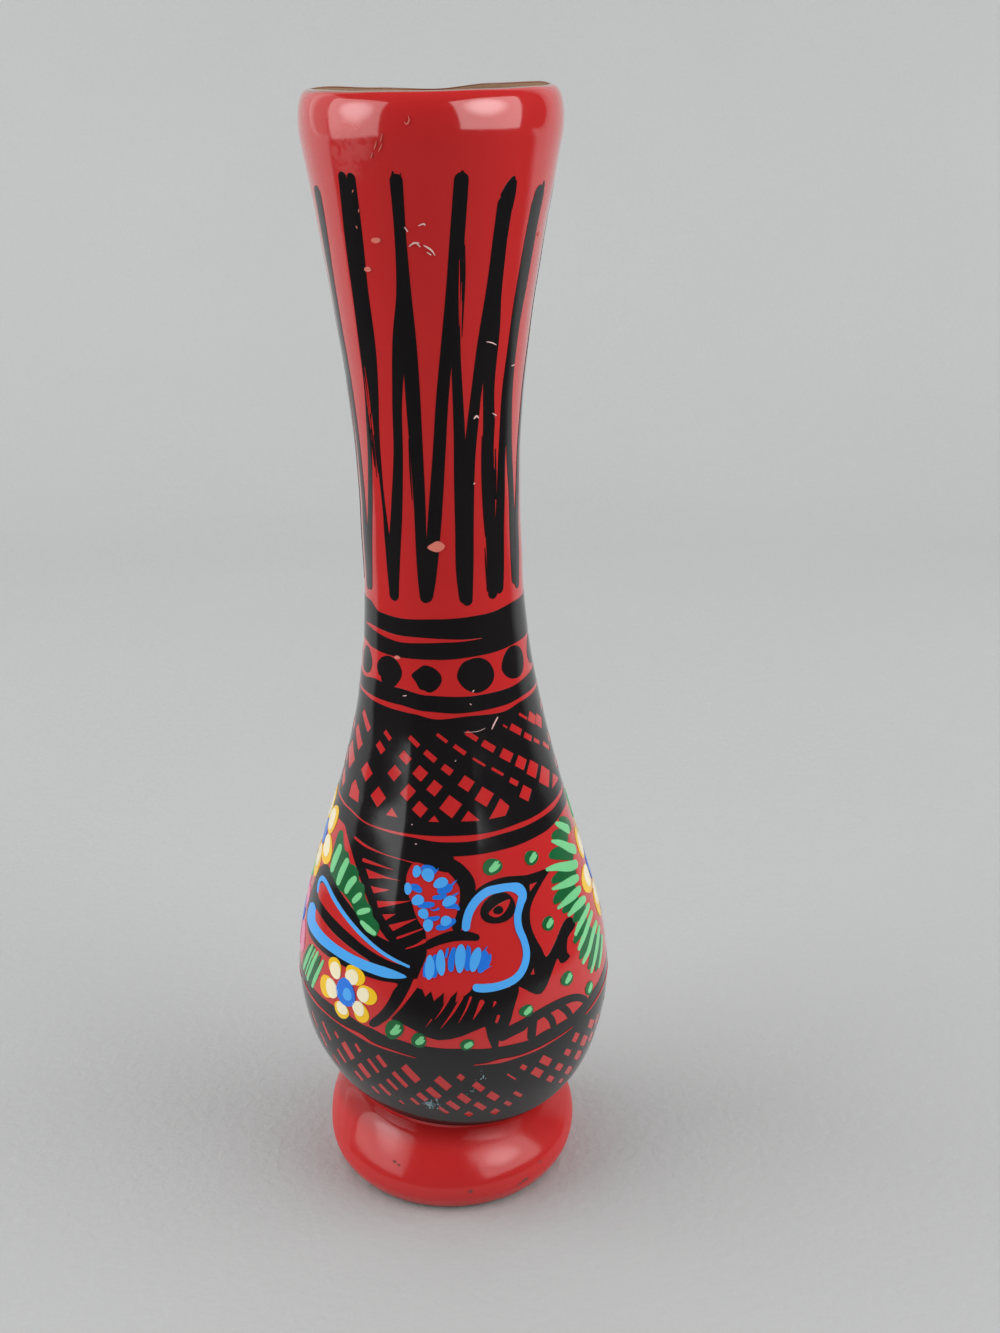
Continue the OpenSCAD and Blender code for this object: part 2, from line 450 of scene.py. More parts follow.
turned("red_enamel_skin", run(FOOT_LOW, BARE, 1, 0, 16)
       + without_first(run(FOOT_TOP, 0, 1, 0, 16))
       + run(BOWL, 0, 1, 0, 26)
       + without_first(run(SHOULDER, 0, 1, 0, 44))
       + without_first(run(NECK, 0, 1, 0, 36))
       + without_first(run(LIP_OUT, 0, 1, 0, 16))
       + run(LIP_OUT, 1, 0, COAT, 14)
       + without_first(run(NECK, 1, 0, COAT, 30))
       + without_first(run(SHOULDER, 1, 0, COAT, 30))
       + without_first(run(BOWL, 1, 0, COAT, 16))
       + [(SEAT, CREASE_Z), (SEAT, FOOT_TOP_Z)]
       + run(FOOT_TOP, 1, 0, COAT, 10)
       + without_first(run(FOOT_LOW, 1, BARE, COAT, 10)),
       RED, ["red_enamel_coat"], ring=192)
turned("foot_slip", [(BOSS, BOSS_Z), (BORE, BOSS_Z), (BORE, FOOT_TOP_Z), (SEAT, FOOT_TOP_Z),
                     (SEAT, CREASE_Z), (BOSS, CREASE_Z)],
       SLIP, ["foot_slip_seam"], ring=96)
turned("neck_slip", run(SHOULDER, JOINT, JOINT + SLIP_SHARE, COAT, 1)
       + run(SHOULDER, JOINT + SLIP_SHARE, JOINT_TOP + SLIP_SHARE, TONGUE - SLIP_T, 2)
       + [inside(SHOULDER, JOINT_TOP + SLIP_SHARE, WALL), inside(SHOULDER, JOINT_TOP, WALL)]
       + run(SHOULDER, JOINT_TOP, JOINT, TONGUE, 2),
       SLIP, ["neck_slip_seam"], ring=96)
turned("lip_slip", [inside(NECK, NECK_END, WALL), inside(NECK, NECK_END, COAT), inside(NECK, 1, COAT),
                    inside(NECK, 1, WALL)],
       SLIP, ["lip_slip_seam"], ring=96)


# Brushwork


def spline(points, closed=False):
    """A smooth line through points, as a function of a share from 0 to 1."""
    knots = [Vector(p) for p in points]
    count = len(knots)
    spans = count if closed else count - 1

    def knot(i):
        return knots[i % count] if closed else knots[min(max(i, 0), count - 1)]

    def at(share):
        t = min(max(share, 0), 1) * spans
        i = min(int(t), spans - 1)
        f = t - i
        a, b, c, d = knot(i - 1), knot(i), knot(i + 1), knot(i + 2)
        bend, twist = 2 * a - 5 * b + 4 * c - d, 3 * b - a - 3 * c + d
        return (2 * b + (c - a) * f + bend * f ** 2 + twist * f ** 3) / 2

    return at


def edge_line(points):
    """A line round the vase through (degrees, height) points, closed behind."""
    marks = sorted(points)
    return [(marks[-1][0] - 360, marks[-1][1])] + marks + [(marks[0][0] + 360, marks[0][1])]


def wrapped(a):
    """The same angle, between -180 and 180 degrees."""
    return a if a < 180 else a - 360


# Heights between which the paint is shaded flatter, and the share by which it still follows the wall
SHADE_START = 19.5
SHADE_Z = 31
SHADE_SHARE = 0.15


def shade_height(z):
    """Height whose normal shades the paint: the belly's underside is shaded as the wall just above it."""
    return z if z < SHADE_START else max(z, SHADE_Z + SHADE_SHARE * (z - SHADE_Z))


# Steps of the film's cuts in degrees and millimetres, depth of its underside, and rise from stroke to stroke
CUT_TURN = 3
CUT_UP = 2.5
SUNK = -0.04
STEP_UP = 0.0012
# Sides of a dab, pieces round a band, least width of a stroke, and degrees where a band's ends meet
DAB_SIDES = 22
BAND_PIECES = 180
THINNEST = 0.02
SEAM = 179.99


class Paint:
    """A film of brushed enamel, drawn flat: x is degrees round from the front, y is height and z is lift."""

    def __init__(self, lift):
        self.bm = bmesh.new()
        self.lift = lift
        self.goes_round = False

    def next_lift(self):
        """A lift just above the last stroke."""
        self.lift += STEP_UP
        return self.lift

    def stroke(self, *points):
        """A brush stroke through (degrees, height, width) points, with round ends."""
        lift = self.next_lift()
        line = spline(points)
        count = 8 * (len(points) - 1) + 6
        spots = [line(i / (6 * count)) for i in range(6 * count + 1)]
        lengths = [0]
        for p, q in zip(spots, spots[1:]):
            lengths.append(lengths[-1] + math.hypot((q.x - p.x) * arc(p.y), q.y - p.y))
        total = lengths[-1]
        grid = bmesh.ops.create_grid(self.bm, x_segments=count, y_segments=2, size=1)["verts"]
        for v in grid:
            side = v.co.y
            reach = total * (1 - math.cos(math.pi * (v.co.x + 1) / 2)) / 2
            i = min(max(bisect_left(lengths, reach), 1), len(spots) - 1)
            p, q = spots[i - 1], spots[i]
            gap = lengths[i] - lengths[i - 1]
            spot = p.lerp(q, (reach - lengths[i - 1]) / gap if gap else 0)
            k = arc(spot.y)
            way = Vector(((q.x - p.x) * k, q.y - p.y)).normalized()
            half = max(spot.z, THINNEST) / 2
            end = min(reach, total - reach)
            if end < half:
                half = math.sqrt(max(half * half - (half - end) ** 2, 0))
            v.co = (spot.x - way.y * half * side / k, spot.y + way.x * half * side, lift)
        bmesh.ops.remove_doubles(self.bm, verts=grid, dist=1e-3)

    def dab(self, a, z, wide, high, tilt=0):
        """A rounded dab, half wide and half high in millimetres, tilted by degrees."""
        lift = self.next_lift()
        ring = bmesh.ops.create_circle(self.bm, cap_ends=True, radius=1, segments=DAB_SIDES)["verts"]
        c, s = math.cos(math.radians(tilt)), math.sin(math.radians(tilt))
        k = arc(z)
        for v in ring:
            way = math.atan2(v.co.y, v.co.x)
            swell = 1 + 0.05 * math.sin(2 * way + a) + 0.04 * math.sin(3 * way + 2 * z)
            x, y = wide * swell * v.co.x, high * swell * v.co.y
            v.co = (a + (x * c - y * s) / k, z + x * s + y * c, lift)

    def patch(self, *points, smooth=3):
        """A filled outline through (degrees, height) points."""
        lift = self.next_lift()
        line = spline(points, closed=True)
        count = smooth * len(points)
        outline = [line(i / count) for i in range(count)] if smooth > 1 else [Vector(p) for p in points]
        self.bm.faces.new([self.bm.verts.new((p.x, p.y, lift)) for p in outline])

    def band(self, low, high, rows):
        """A band right round the vase between two lines of (degrees, height) points."""
        lift = self.next_lift()
        low, high = edge_line(low), edge_line(high)
        grid = bmesh.ops.create_grid(self.bm, x_segments=BAND_PIECES, y_segments=rows, size=1)["verts"]
        for v in grid:
            a, share = 180 * v.co.x, (v.co.y + 1) / 2
            v.co = (a, along(low, a) * (1 - share) + along(high, a) * share, lift)
        self.goes_round = True

    def window(self, *corners):
        """A gap with straight sides that lets the red show, its corners listed in order round it."""
        middle = sum((Vector(c) for c in corners), Vector((0, 0))) / len(corners)
        left, right = min(c[0] for c in corners), max(c[0] for c in corners)
        low, high = min(c[1] for c in corners), max(c[1] for c in corners)
        near = []
        for f in self.bm.faces:
            xs, ys = [v.co.x for v in f.verts], [v.co.y for v in f.verts]
            if max(xs) > left and min(xs) < right and max(ys) > low and min(ys) < high:
                near.append(f)
        sides = []
        for p, q in zip(corners, corners[1:] + corners[:1]):
            out = Vector((q[1] - p[1], p[0] - q[0]))
            if out.dot(middle - Vector(p)) > 0:
                out.negate()
            sides.append((Vector(p), out))
        for p, out in sides:
            geom = near + list({e for f in near for e in f.edges}) + list({v for f in near for v in f.verts})
            cut = bmesh.ops.bisect_plane(self.bm, geom=geom, dist=1e-4, plane_co=p.to_3d(),
                                         plane_no=out.to_3d())
            near = [g for g in cut["geom"] if isinstance(g, bmesh.types.BMFace)]
        gone = []
        for f in near:
            spot = f.calc_center_median().to_2d()
            if all(out.dot(spot - p) < 0 for p, out in sides):
                gone.append(f)
        bmesh.ops.delete(self.bm, geom=gone, context="FACES")

    def diamond(self, a, z, long, short, way=-38, cross=51):
        """A gap between crossing brush lines, by its half lengths in millimetres and their directions."""
        k = arc(z)
        p = Vector((math.cos(math.radians(way)) / k, math.sin(math.radians(way)))) * long
        q = Vector((math.cos(math.radians(cross)) / k, math.sin(math.radians(cross)))) * short
        middle = Vector((a, z))
        self.window(*[tuple(middle + s * p + t * q) for s, t in ((1, 1), (1, -1), (-1, -1), (-1, 1))])

    def cut(self, axis, step):
        """Cuts the film along even lines, so that it can follow the curve of the vase."""
        marks = [v.co[axis] for v in self.bm.verts]
        way = Vector((0, 0, 0))
        way[axis] = 1
        for i in range(math.floor(min(marks) / step) + 1, math.ceil(max(marks) / step)):
            geom = self.bm.verts[:] + self.bm.edges[:] + self.bm.faces[:]
            bmesh.ops.bisect_plane(self.bm, geom=geom, dist=1e-5, plane_co=way * (i * step), plane_no=way)

    def lay(self, name, material):
        """Gives the film its thickness and lays it on the vase."""
        bm = self.bm
        bmesh.ops.triangulate(bm, faces=[f for f in bm.faces if len(f.verts) > 4])
        self.cut(0, CUT_TURN)
        self.cut(1, CUT_UP)
        under = bm.verts[:]
        bmesh.ops.extrude_face_region(bm, geom=bm.faces[:])
        for v in under:
            v.co.z = SUNK
        if self.goes_round:
            seam = [f for f in bm.faces if all(abs(v.co.x) > SEAM for v in f.verts)]
            bmesh.ops.delete(bm, geom=seam, context="FACES_ONLY")
        bmesh.ops.recalc_face_normals(bm, faces=bm.faces)
        facing = {}
        for v in bm.verts:
            a, z = drawn(v.co.x, v.co.y), v.co.y
            v.co = skin(a, z, v.co.z)
            facing[v] = skin_normal(a, shade_height(z))
        if self.goes_round:
            bmesh.ops.remove_doubles(bm, verts=bm.verts, dist=1e-7)
        keep(name, bm, material, normals=[facing[v] for v in bm.verts])


# Lifts of the layers of paint above the enamel
LOW, MIDDLE, HIGH, TOP = 0.04, 0.12, 0.16, 0.20
rnd = random.Random(7)


def jitter(size):
    """A small chance difference of at most size."""
    return rnd.uniform(-size, size)


# Reeds down the neck: each brush stroke from the top splits into two legs
reeds = Paint(LOW)
reeds.stroke((-64.7, 213.4, 3.4), (-66.6, 205, 3.4), (-69.4, 195, 2.6), (-70.4, 185, 2.4),
             (-69.5, 175, 2.2), (-69.3, 165, 2.2), (-68.5, 155, 2.2), (-68, 147, 2.7), (-68, 140, 2.6),
             (-68, 135.6, 2.2))
reeds.stroke((-65, 213, 2.6), (-69, 200, 2.8), (-75, 185, 2.4), (-79, 172, 2), (-83, 158, 1.8),
             (-86, 146, 2.2), (-87, 136.5, 2))
reeds.stroke((-40.3, 216.2, 1.9), (-41.6, 205, 3), (-43, 195, 2.9), (-44, 185, 2.9), (-46.3, 176, 2.2),
             (-49.6, 170, 1.5), (-51.6, 165, 1.4), (-53.7, 160, 1.5), (-56.2, 155, 1.7), (-58.7, 150, 2),
             (-61.5, 145, 2.6), (-63.5, 140, 2.6), (-64, 135.8, 2.2))
reeds.stroke((-35.1, 216, 1.9), (-37.3, 205, 2.8), (-39, 195, 2.8), (-39.7, 185, 3), (-41, 176, 2.2),
             (-42.3, 170, 1.6), (-42.8, 165, 1.2), (-42.3, 160, 0.9), (-41.3, 155, 0.8), (-39.8, 150, 1.1),
             (-38, 145, 1.7), (-36.3, 140, 2.2), (-35.3, 135.4, 2))
reeds.stroke((-37.7, 214.9, 3.2), (-38.9, 208, 3.2), (-40.2, 200, 3), (-41.4, 190, 3), (-42, 180, 2.2),
             (-42, 174, 0.6))
reeds.stroke((-13.1, 215.9, 2.4), (-13.4, 205, 2.1), (-14.5, 195, 2.5), (-19, 186, 2.7), (-23.8, 175, 2),
             (-26, 165, 2), (-29.4, 155, 2.5), (-32.5, 147, 2.8), (-34.6, 140, 2.6), (-35, 135.3, 2.2))
reeds.stroke((-13.3, 214.6, 2), (-13.4, 205, 2.1), (-13.6, 195, 2.5), (-13.2, 185, 2.8), (-13.2, 175, 2.8),
             (-12.9, 165, 2.5), (-12.3, 155, 2.3), (-12.2, 147, 2.2), (-11, 140, 2.4), (-10.3, 135.6, 2))
reeds.stroke((15.2, 216, 2.6), (13.6, 205, 2.7), (11.6, 195, 2.6), (8.2, 185, 2.3), (4.8, 175, 2.3),
             (2, 165, 2.4), (-1.3, 155, 2.6), (-4.2, 147, 2.6), (-7.5, 140, 2.6), (-9.5, 135.8, 2))
reeds.stroke((14.8, 214.4, 2.2), (14, 205, 2.4), (13.2, 195, 2.2), (13.2, 185, 1.8), (14.7, 175, 2),
             (15.6, 168, 2.2), (15.8, 160, 2.4), (16, 150, 2.5), (16.3, 142, 2.8), (17.6, 135.2, 2.3))
reeds.stroke((37.6, 211.8, 3.5), (36.6, 205, 3.3), (34.4, 195, 3), (30.5, 185, 2.8), (27, 177, 2.2),
             (24.5, 170, 2.3), (22.2, 163, 2.4), (20.7, 155, 2.5), (19.7, 147, 2.6), (19, 140, 2.4),
             (18.7, 134.8, 2))
reeds.stroke((37.6, 211.8, 3.4), (36.6, 205, 3.2), (35.6, 195, 3.3), (35.6, 188, 3.8), (35.7, 178, 2.7),
             (36.8, 170, 2.7), (37.5, 160, 3), (38, 150, 2.4), (38.3, 142, 2.3), (38.6, 135.3, 2.2))
reeds.stroke((61.6, 213, 3.6), (59.7, 205, 3.9), (57, 195, 3.6), (54.3, 185, 3), (52.3, 175, 3.2),
             (50, 165, 2.2), (48, 155, 2.4), (46, 147, 2.6), (45, 140, 2.4), (44.5, 136, 2))
reeds.stroke((60.5, 211.4, 3.8), (59.5, 205, 3.7), (57.5, 195, 3.5), (54.5, 185, 2.8), (54.5, 175, 2.6),
             (57.3, 167, 2.1), (59.8, 160, 2.2), (61.2, 155, 2.1), (62.5, 149, 2.6), (63, 142, 3),
             (63, 136.6, 2.4))
# Split ends and stray bristles of the brush
for points in (
        ((-15, 212.6, 1), (-14.6, 215, 0.7), (-14.3, 216.4, 0.2)),
        ((-12, 213, 0.8), (-11.4, 215, 0.4), (-10.9, 216, 0.15)),
        ((13.6, 212.5, 1.8), (14.8, 215, 1.2), (15.6, 216.3, 0.3)),
        ((16.8, 211, 0.9), (17.4, 213.6, 0.5), (17.8, 215, 0.2)),
        ((36.4, 210.5, 2.8), (39, 213, 2.2), (41, 214.9, 0.7)),
        ((40.6, 209, 1), (41.6, 212, 0.9), (42, 214.2, 0.5)),
        ((63.6, 210, 1.2), (64, 212.4, 0.9), (63.8, 213.6, 0.3)),
        ((-47.2, 171, 0.2), (-46.8, 165, 0.35), (-46.2, 159.5, 0.1)),
        ((-45.4, 168, 0.2), (-45, 164, 0.3), (-44.4, 160.5, 0.1)),
        ((-48.3, 167, 0.15), (-48, 164, 0.25), (-47.6, 161.5, 0.1)),
        ((17.3, 203.5, 0.15), (17.5, 198, 0.4), (17.2, 192, 0.3), (16.8, 187, 0.1)),
        ((16.4, 200.5, 0.4), (16.6, 197, 0.5), (16.4, 193.5, 0.2)),
        ((31.6, 168, 0.15), (31.8, 160, 0.35), (32.6, 153, 0.3), (33.6, 148, 0.1)),
        ((32.8, 146, 0.1), (33.3, 142, 0.35), (34, 137, 0.2)),
        ((43, 165, 0.2), (43.3, 160, 0.4), (43.2, 155, 0.2)),
        ((-17.6, 168, 0.15), (-17.9, 162, 0.3), (-17.4, 156, 0.1)),
        ((-41.4, 153, 0.3), (-40.9, 148, 0.4), (-39.6, 143, 0.2))):
    reeds.stroke(*points)
for i in range(8):
    top = 95 + 24.5 * i
    for lean in (-29.5 if i == 0 else -19, 4):
        reeds.stroke((top, 213 + jitter(1.5), 3), (top + 0.08 * lean, 202, 3.1),
                     (top + 0.2 * lean, 190, 2.8), (top + 0.42 * lean + jitter(1), 177, 2.2),
                     (top + 0.66 * lean + jitter(1), 163, 1.9), (top + 0.85 * lean, 149, 2.2),
                     (top + 0.98 * lean, 136 + jitter(0.6), 2))
reeds.lay("neck_reeds_black", BLACK)

# Bands, dots and the upper lattice
RING_1_TOP = ((-180, 114.2), (-120, 114.8), (-70, 114.6), (-30, 114.5), (-10, 113.8), (10, 113.4),
              (40, 113.5), (60, 113.9), (120, 113.8))
RING_1_LOW = ((-180, 113.4), (-120, 114), (-70, 113.9), (-50, 113.6), (-30, 113.3), (-20, 113.1),
              (-4, 112.3), (15, 112.7), (38, 112.3), (55, 113), (120, 113))
RING_2_TOP = ((-180, 90.2), (-120, 91), (-75, 90.9), (-60, 90.6), (-40, 89.6), (0, 89.5), (20, 89.4),
              (40, 89.8), (75, 90.4), (120, 90.4))
RING_2_LOW = ((-180, 89.4), (-120, 90.3), (-75, 90.3), (-60, 90.2), (-40, 89.3), (-20, 89), (0, 88.3),
              (10, 88.2), (30, 88.7), (60, 89), (75, 89.4), (120, 89.5))
WIDE_BAND_LOW = ((-180, 124.6), (-70, 124.7), (-60, 124.2), (-40, 124), (0, 124.2), (30, 124.5),
                 (60, 124.9), (120, 124.8))
WIDE_BAND_TOP = ((-180, 132.6), (-110, 132.8), (-64, 133.7), (-50, 132.2), (-30, 132), (0, 132.4),
                 (30, 132.6), (60, 133.3), (120, 132.9))
DOTS_LOW = ((-180, 117.2), (-70, 117.3), (-52, 118.2), (-30, 117.8), (-10, 117), (20, 116.6), (45, 116.6),
            (70, 117.2), (120, 117.4))
FRIEZE_TOP = ((-180, 86.4), (-70, 87), (10, 85.5), (30, 85.6), (50, 85.9), (75, 86.8), (120, 86.6))
bands = Paint(LOW)
bands.band(WIDE_BAND_LOW, WIDE_BAND_TOP, 4)
bands.band(RING_1_TOP, DOTS_LOW, 2)
bands.band(FRIEZE_TOP, RING_2_LOW, 2)
bands.lay("neck_bands_black", BLACK)

dots = Paint(LOW)
dots.dab(-67.5, 120.9, 2.75, 2.9)
dots.patch((-51.6, 121.2), (-47, 123), (-40, 123.8), (-33, 123.3), (-28.6, 121.6), (-28.6, 120),
           (-32, 118.4), (-36, 117.6), (-42, 117.8), (-45.5, 118.3), (-46.6, 119.2), (-49, 119.4))
dots.patch((-21, 120.8), (-17, 122), (-12, 123), (-6, 122.6), (-1.5, 121.4), (-0.5, 120), (-3, 118.6),
           (-8, 117.6), (-12, 118), (-15, 118.2), (-18, 119.6))
dots.patch((9.5, 121), (13, 123.2), (19, 124), (26, 124), (32, 122.8), (35, 120.8), (34, 119), (29, 117.6),
           (22, 117.1), (16, 117.8), (11.5, 119.2))
dots.patch((41.5, 120.5), (43, 122.6), (48, 124.3), (54, 124.6), (61, 123.8), (65, 122), (64.5, 119.8),
           (60, 118.2), (53, 117.9), (46, 118.7))
for i in range(7):
    dots.dab(84 + 29.5 * i + jitter(2), 121 + jitter(0.3), 3.2 + jitter(0.4), 3 + jitter(0.2))
dots.lay("neck_dots_black", BLACK)

lattice = Paint(LOW)
lattice.band(RING_2_TOP, RING_1_LOW, 10)
for a, z, long, short in (
        (-59, 108.8, 2.4, 0.8), (-36.5, 107.8, 1.1, 0.5), (-18, 107.6, 1.35, 0.5), (-1, 108.6, 1.3, 0.35),
        (16.5, 108.7, 1.4, 0.5), (38.5, 109.3, 0.6, 0.2), (46, 108, 1.6, 0.7), (54, 109.9, 1.4, 0.3),
        (63, 108.5, 1.5, 1), (71.5, 106.8, 1.7, 1.2), (-66, 104.6, 2.6, 1.2), (-41, 105, 1.2, 0.8),
        (-23, 104.2, 1.2, 0.9), (-8, 105, 1.4, 0.6), (9, 106.2, 1.4, 0.45), (26, 106.2, 1.5, 0.7),
        (55, 105.5, 1.3, 0.6), (62.8, 103.6, 1.2, 0.4), (36.5, 103.6, 1.4, 1), (-73, 100, 2.6, 1.9),
        (-29, 100.8, 1.1, 1.3), (-13.5, 101.5, 1.2, 1.2), (1.5, 102.4, 1.1, 0.7), (19.5, 103.4, 1.5, 0.25),
        (45.5, 101.2, 1.3, 1.15), (74, 101, 2, 0.5), (-49.8, 99.2, 1.5, 1.4), (-20, 97.5, 1.1, 1.45),
        (-5.5, 98.8, 1.1, 1.3), (11.5, 99.5, 1.25, 1.2), (29.5, 100.9, 1.5, 0.3), (53.5, 98.9, 1.5, 1.5),
        (-38, 95.3, 1.5, 1.5), (-13, 94.5, 1.2, 1.2), (2.8, 95.2, 1.6, 1.7), (20.5, 96.5, 1.45, 1.5),
        (38.5, 98, 1.1, 0.55), (63, 96, 1.9, 1.8), (44.8, 95, 1.3, 1.3), (-78, 94.3, 2, 1.3)):
    lattice.diamond(a, z, long, short)
lattice.window((-31.5, 92.3), (-24.5, 92.3), (-28.5, 94))
lattice.window((-8.5, 92.2), (-3, 92.2), (-5.5, 93.5))
lattice.window((7.5, 92.2), (17, 92), (11.5, 94.2))
lattice.window((21.5, 92), (30.5, 92), (33.5, 93.6), (29, 95.6))
lattice.window((67, 92.7), (81, 92.7), (73, 95.2))
lattice.window((-59, 96.5), (-53, 94.6), (-52, 92.5), (-62.5, 92.5), (-62.5, 95))
for i in range(11):
    for j in range(5):
        a = 86 + 18.2 * i + 9.4 * (j % 2) + jitter(1.5)
        size = 1 + 0.09 * (4 - j)
        z, long, short = 94.8 + 3.4 * j + jitter(0.5), size * (1.2 + jitter(0.3)), size * (0.9 + jitter(0.3))
        if abs(a - 180) > 6:
            lattice.diamond(wrapped(a), z, long, short)
lattice.lay("shoulder_lattice_black", BLACK)

# Ground below the frieze and the lower lattice
GROUND_LOW = ((-180, 19.9), (-90, 20.2), (0, 19.9), (90, 20))
GROUND_TOP = ((-180, 50), (-120, 50.5), (-75, 51.3), (-50, 50.6), (-42, 50.5), (-30, 49.2), (-20, 48),
              (-10, 47.1), (0, 46.7), (15, 46), (28, 45.8), (35, 46.7), (45, 46.9), (55, 47.8), (65, 49),
              (75, 49.8), (120, 50))
ground = Paint(LOW)
ground.band(GROUND_LOW, GROUND_TOP, 40)
for a, z, long, short in (
        (-53, 42.3, 2, 0.6), (-46, 43.4, 0.7, 0.5), (-35.3, 42.8, 0.9, 0.5), (-41, 40.5, 1.9, 1),
        (-29.5, 39.2, 1.7, 0.5), (-25.5, 41.3, 1.4, 0.6), (-14.5, 39.5, 2.1, 0.9), (-46, 37.5, 1.6, 0.6),
        (-34.5, 36.5, 1.7, 0.9), (-19, 37.2, 2, 0.6), (-3, 37.6, 1.7, 0.9), (-22.7, 35, 1.5, 0.5),
        (-38.8, 33.6, 1.2, 0.7), (-27, 32.3, 1.6, 0.6), (-6.7, 34.5, 1.6, 0.8), (-11.3, 32.8, 1.2, 0.7),
        (-32.2, 30.8, 1, 0.6), (-14.8, 30.8, 1.1, 0.5), (-21, 29.3, 0.6, 0.4), (3.4, 39.3, 0.7, 0.6),
        (9.8, 36.3, 1.3, 0.7), (4.5, 33.1, 1.4, 0.8), (0.3, 30.8, 1.5, 0.7), (-3.8, 28.8, 1.3, 0.5),
        (15.5, 33, 1.3, 0.8), (10.8, 30.2, 1.4, 0.7), (6.5, 27.5, 0.8, 0.7), (22, 37.6, 1.3, 0.2),
        (26.5, 39.3, 0.8, 0.5), (32.8, 36.6, 1.5, 0.8), (36, 38.9, 1.6, 0.8), (47.3, 38, 1.2, 0.6),
        (51, 40.6, 1, 0.9), (44, 35.2, 1.2, 0.7), (40.5, 33, 1.2, 0.6), (52, 32, 1.4, 0.8),
        (25.8, 32, 1.3, 0.4), (22.3, 29.7, 1, 0.5), (17.5, 27.5, 0.9, 0.8), (56.3, 34.6, 1.6, 0.9),
        (58.5, 37.5, 1.6, 1), (62.5, 40.3, 1.8, 0.8), (49, 30, 1, 0.5), (66, 36, 1.5, 0.9),
        (70, 39, 1.6, 0.9), (-58, 38, 1.6, 0.7), (-63, 42, 1.7, 0.7), (-52, 34, 1.3, 0.6)):
    ground.diamond(a, z, 1.12 * long, 1.1 * short, 0.25 * a - 49, 0.15 * a + 50)
for i in range(18):
    for j in range(5):
        a = 78 + 11.2 * i + 3.4 * (4 - j) + jitter(1)
        z, long, short = 29.5 + 2.8 * j + jitter(0.4), 1.3 + jitter(0.5), 0.7 + jitter(0.2)
        if abs(a - 180) > 5 and a < 282:
            ground.diamond(wrapped(a), z, long, short, -54, 46)
ground.lay("belly_ground_black", BLACK)

# The bird: wing, tail, body, head and legs in black
bird = Paint(LOW + 0.02)
bird.patch((-66, 88.6), (-40, 89), (-15, 88.6), (0, 88), (3, 86), (3.5, 83.5), (0, 82.5), (-6, 83.3),
           (-12, 84.2), (-15, 84), (-17, 82.5), (-17.8, 80.5), (-16.5, 78), (-14.5, 76.3), (-13, 74.4),
           (-11, 72.6), (-8.8, 71.2), (-8.3, 69.3), (-9.5, 67.8), (-16, 66), (-22, 67.9), (-26, 69.6),
           (-30, 71.8), (-35, 75.4), (-40, 78.4), (-45, 81), (-50, 83.4), (-58, 86.6))
bird.stroke((-6, 85.8, 2.4), (0, 84.4, 2.6), (5, 82.7, 3.1), (8.5, 80.3, 3.3), (8.6, 78, 3), (7, 75.5, 2.4),
            (5, 73, 2.2), (2.5, 71.2, 1.6))
bird.stroke((-9, 68, 1.6), (-4, 69.3, 1.8), (2, 70.2, 2.1), (7, 70.1, 1.9), (12.2, 69.4, 1.2))
bird.patch((-77, 70), (-74, 74.5), (-68, 76.8), (-62, 76.8), (-55, 75.2), (-48, 73.8), (-42, 72.5),
           (-36, 71), (-30, 69.2), (-24, 68.3), (-16, 67.5), (-9, 68.4), (-8, 66.5), (-10, 63.5),
           (-12, 60.6), (-14.5, 58), (-17.5, 55.3), (-20.5, 53), (-23, 51.5), (-27, 49.6), (-29.3, 49.8),
           (-28.5, 51), (-25, 53.2), (-22, 55.8), (-20, 58.4), (-18.5, 60.1), (-25, 60), (-35, 60.2),
           (-45, 60.4), (-55, 60.5), (-65, 60.8), (-72, 61.5), (-77, 63.5), (-78.5, 66.5))
bird.patch((-20.5, 52.4), (-16, 55.6), (-11.5, 59.8), (-9.3, 59.5), (-8.3, 58), (-6.2, 59.2), (-5.2, 57.2),
           (-1.6, 59), (-2, 56.6), (3, 59.2), (2.2, 56.8), (7.5, 59), (9, 60), (14, 58.9), (20, 58.6),
           (25.5, 58.6), (25, 57), (23.2, 54.6), (21.6, 51.8), (20, 49.8), (17, 48.3), (16.5, 45.6),
           (14.5, 45.8), (13, 48.5), (12.2, 51.2), (8, 50.4), (4, 49.5), (0, 48.9), (-4, 48.7), (-8, 49.3),
           (-12, 50.6), (-16, 51.6), smooth=1)
bird.patch((8.5, 76.6), (13, 78.9), (18, 79.9), (24, 80.3), (30, 80), (36, 79.4), (42, 79.2), (48, 78.9),
           (50, 78.5), (47, 77.7), (43, 76.6), (38, 74.7), (35, 72.8), (34, 70.8), (34, 69), (35, 66.8),
           (37, 64.2), (38.2, 62.2), (42, 63.5), (46, 65.4), (50, 67), (53.5, 67.4), (56.5, 66.6), (57, 65),
           (54, 64.4), (51, 63.8), (49.5, 62.5), (48.8, 61), (50, 59.9), (46.5, 59.4), (44.3, 59.8),
           (43.5, 61), (40.5, 59.3), (37, 56.7), (34, 55.3), (31, 55.8), (28, 57.2), (25, 58.4), (22, 58.6),
           (24, 60), (28.5, 61.5), (30.3, 64), (30.6, 66.5), (29.3, 69), (28.2, 71), (29, 73), (32, 74.8),
           (33.5, 76.2), (31.5, 78), (26, 78.7), (20, 78.8), (16, 78.4), (12, 77), smooth=2)
bird.dab(21, 74.5, 3.65, 3.1, 14)
bird.stroke((16.5, 48, 2.2), (22, 49, 2.2), (27.5, 49.8, 2.4))
bird.stroke((19, 49.2, 1.8), (26, 50, 2.2), (33, 51, 2.2), (40, 51.4, 2.1), (46, 51.2, 1.8),
            (51, 50.3, 1.6), (55, 48.7, 1.6), (57, 47.5, 1.6))
bird.stroke((30.5, 51.4, 2.2), (29.5, 49, 2.1), (29, 45.6, 2))
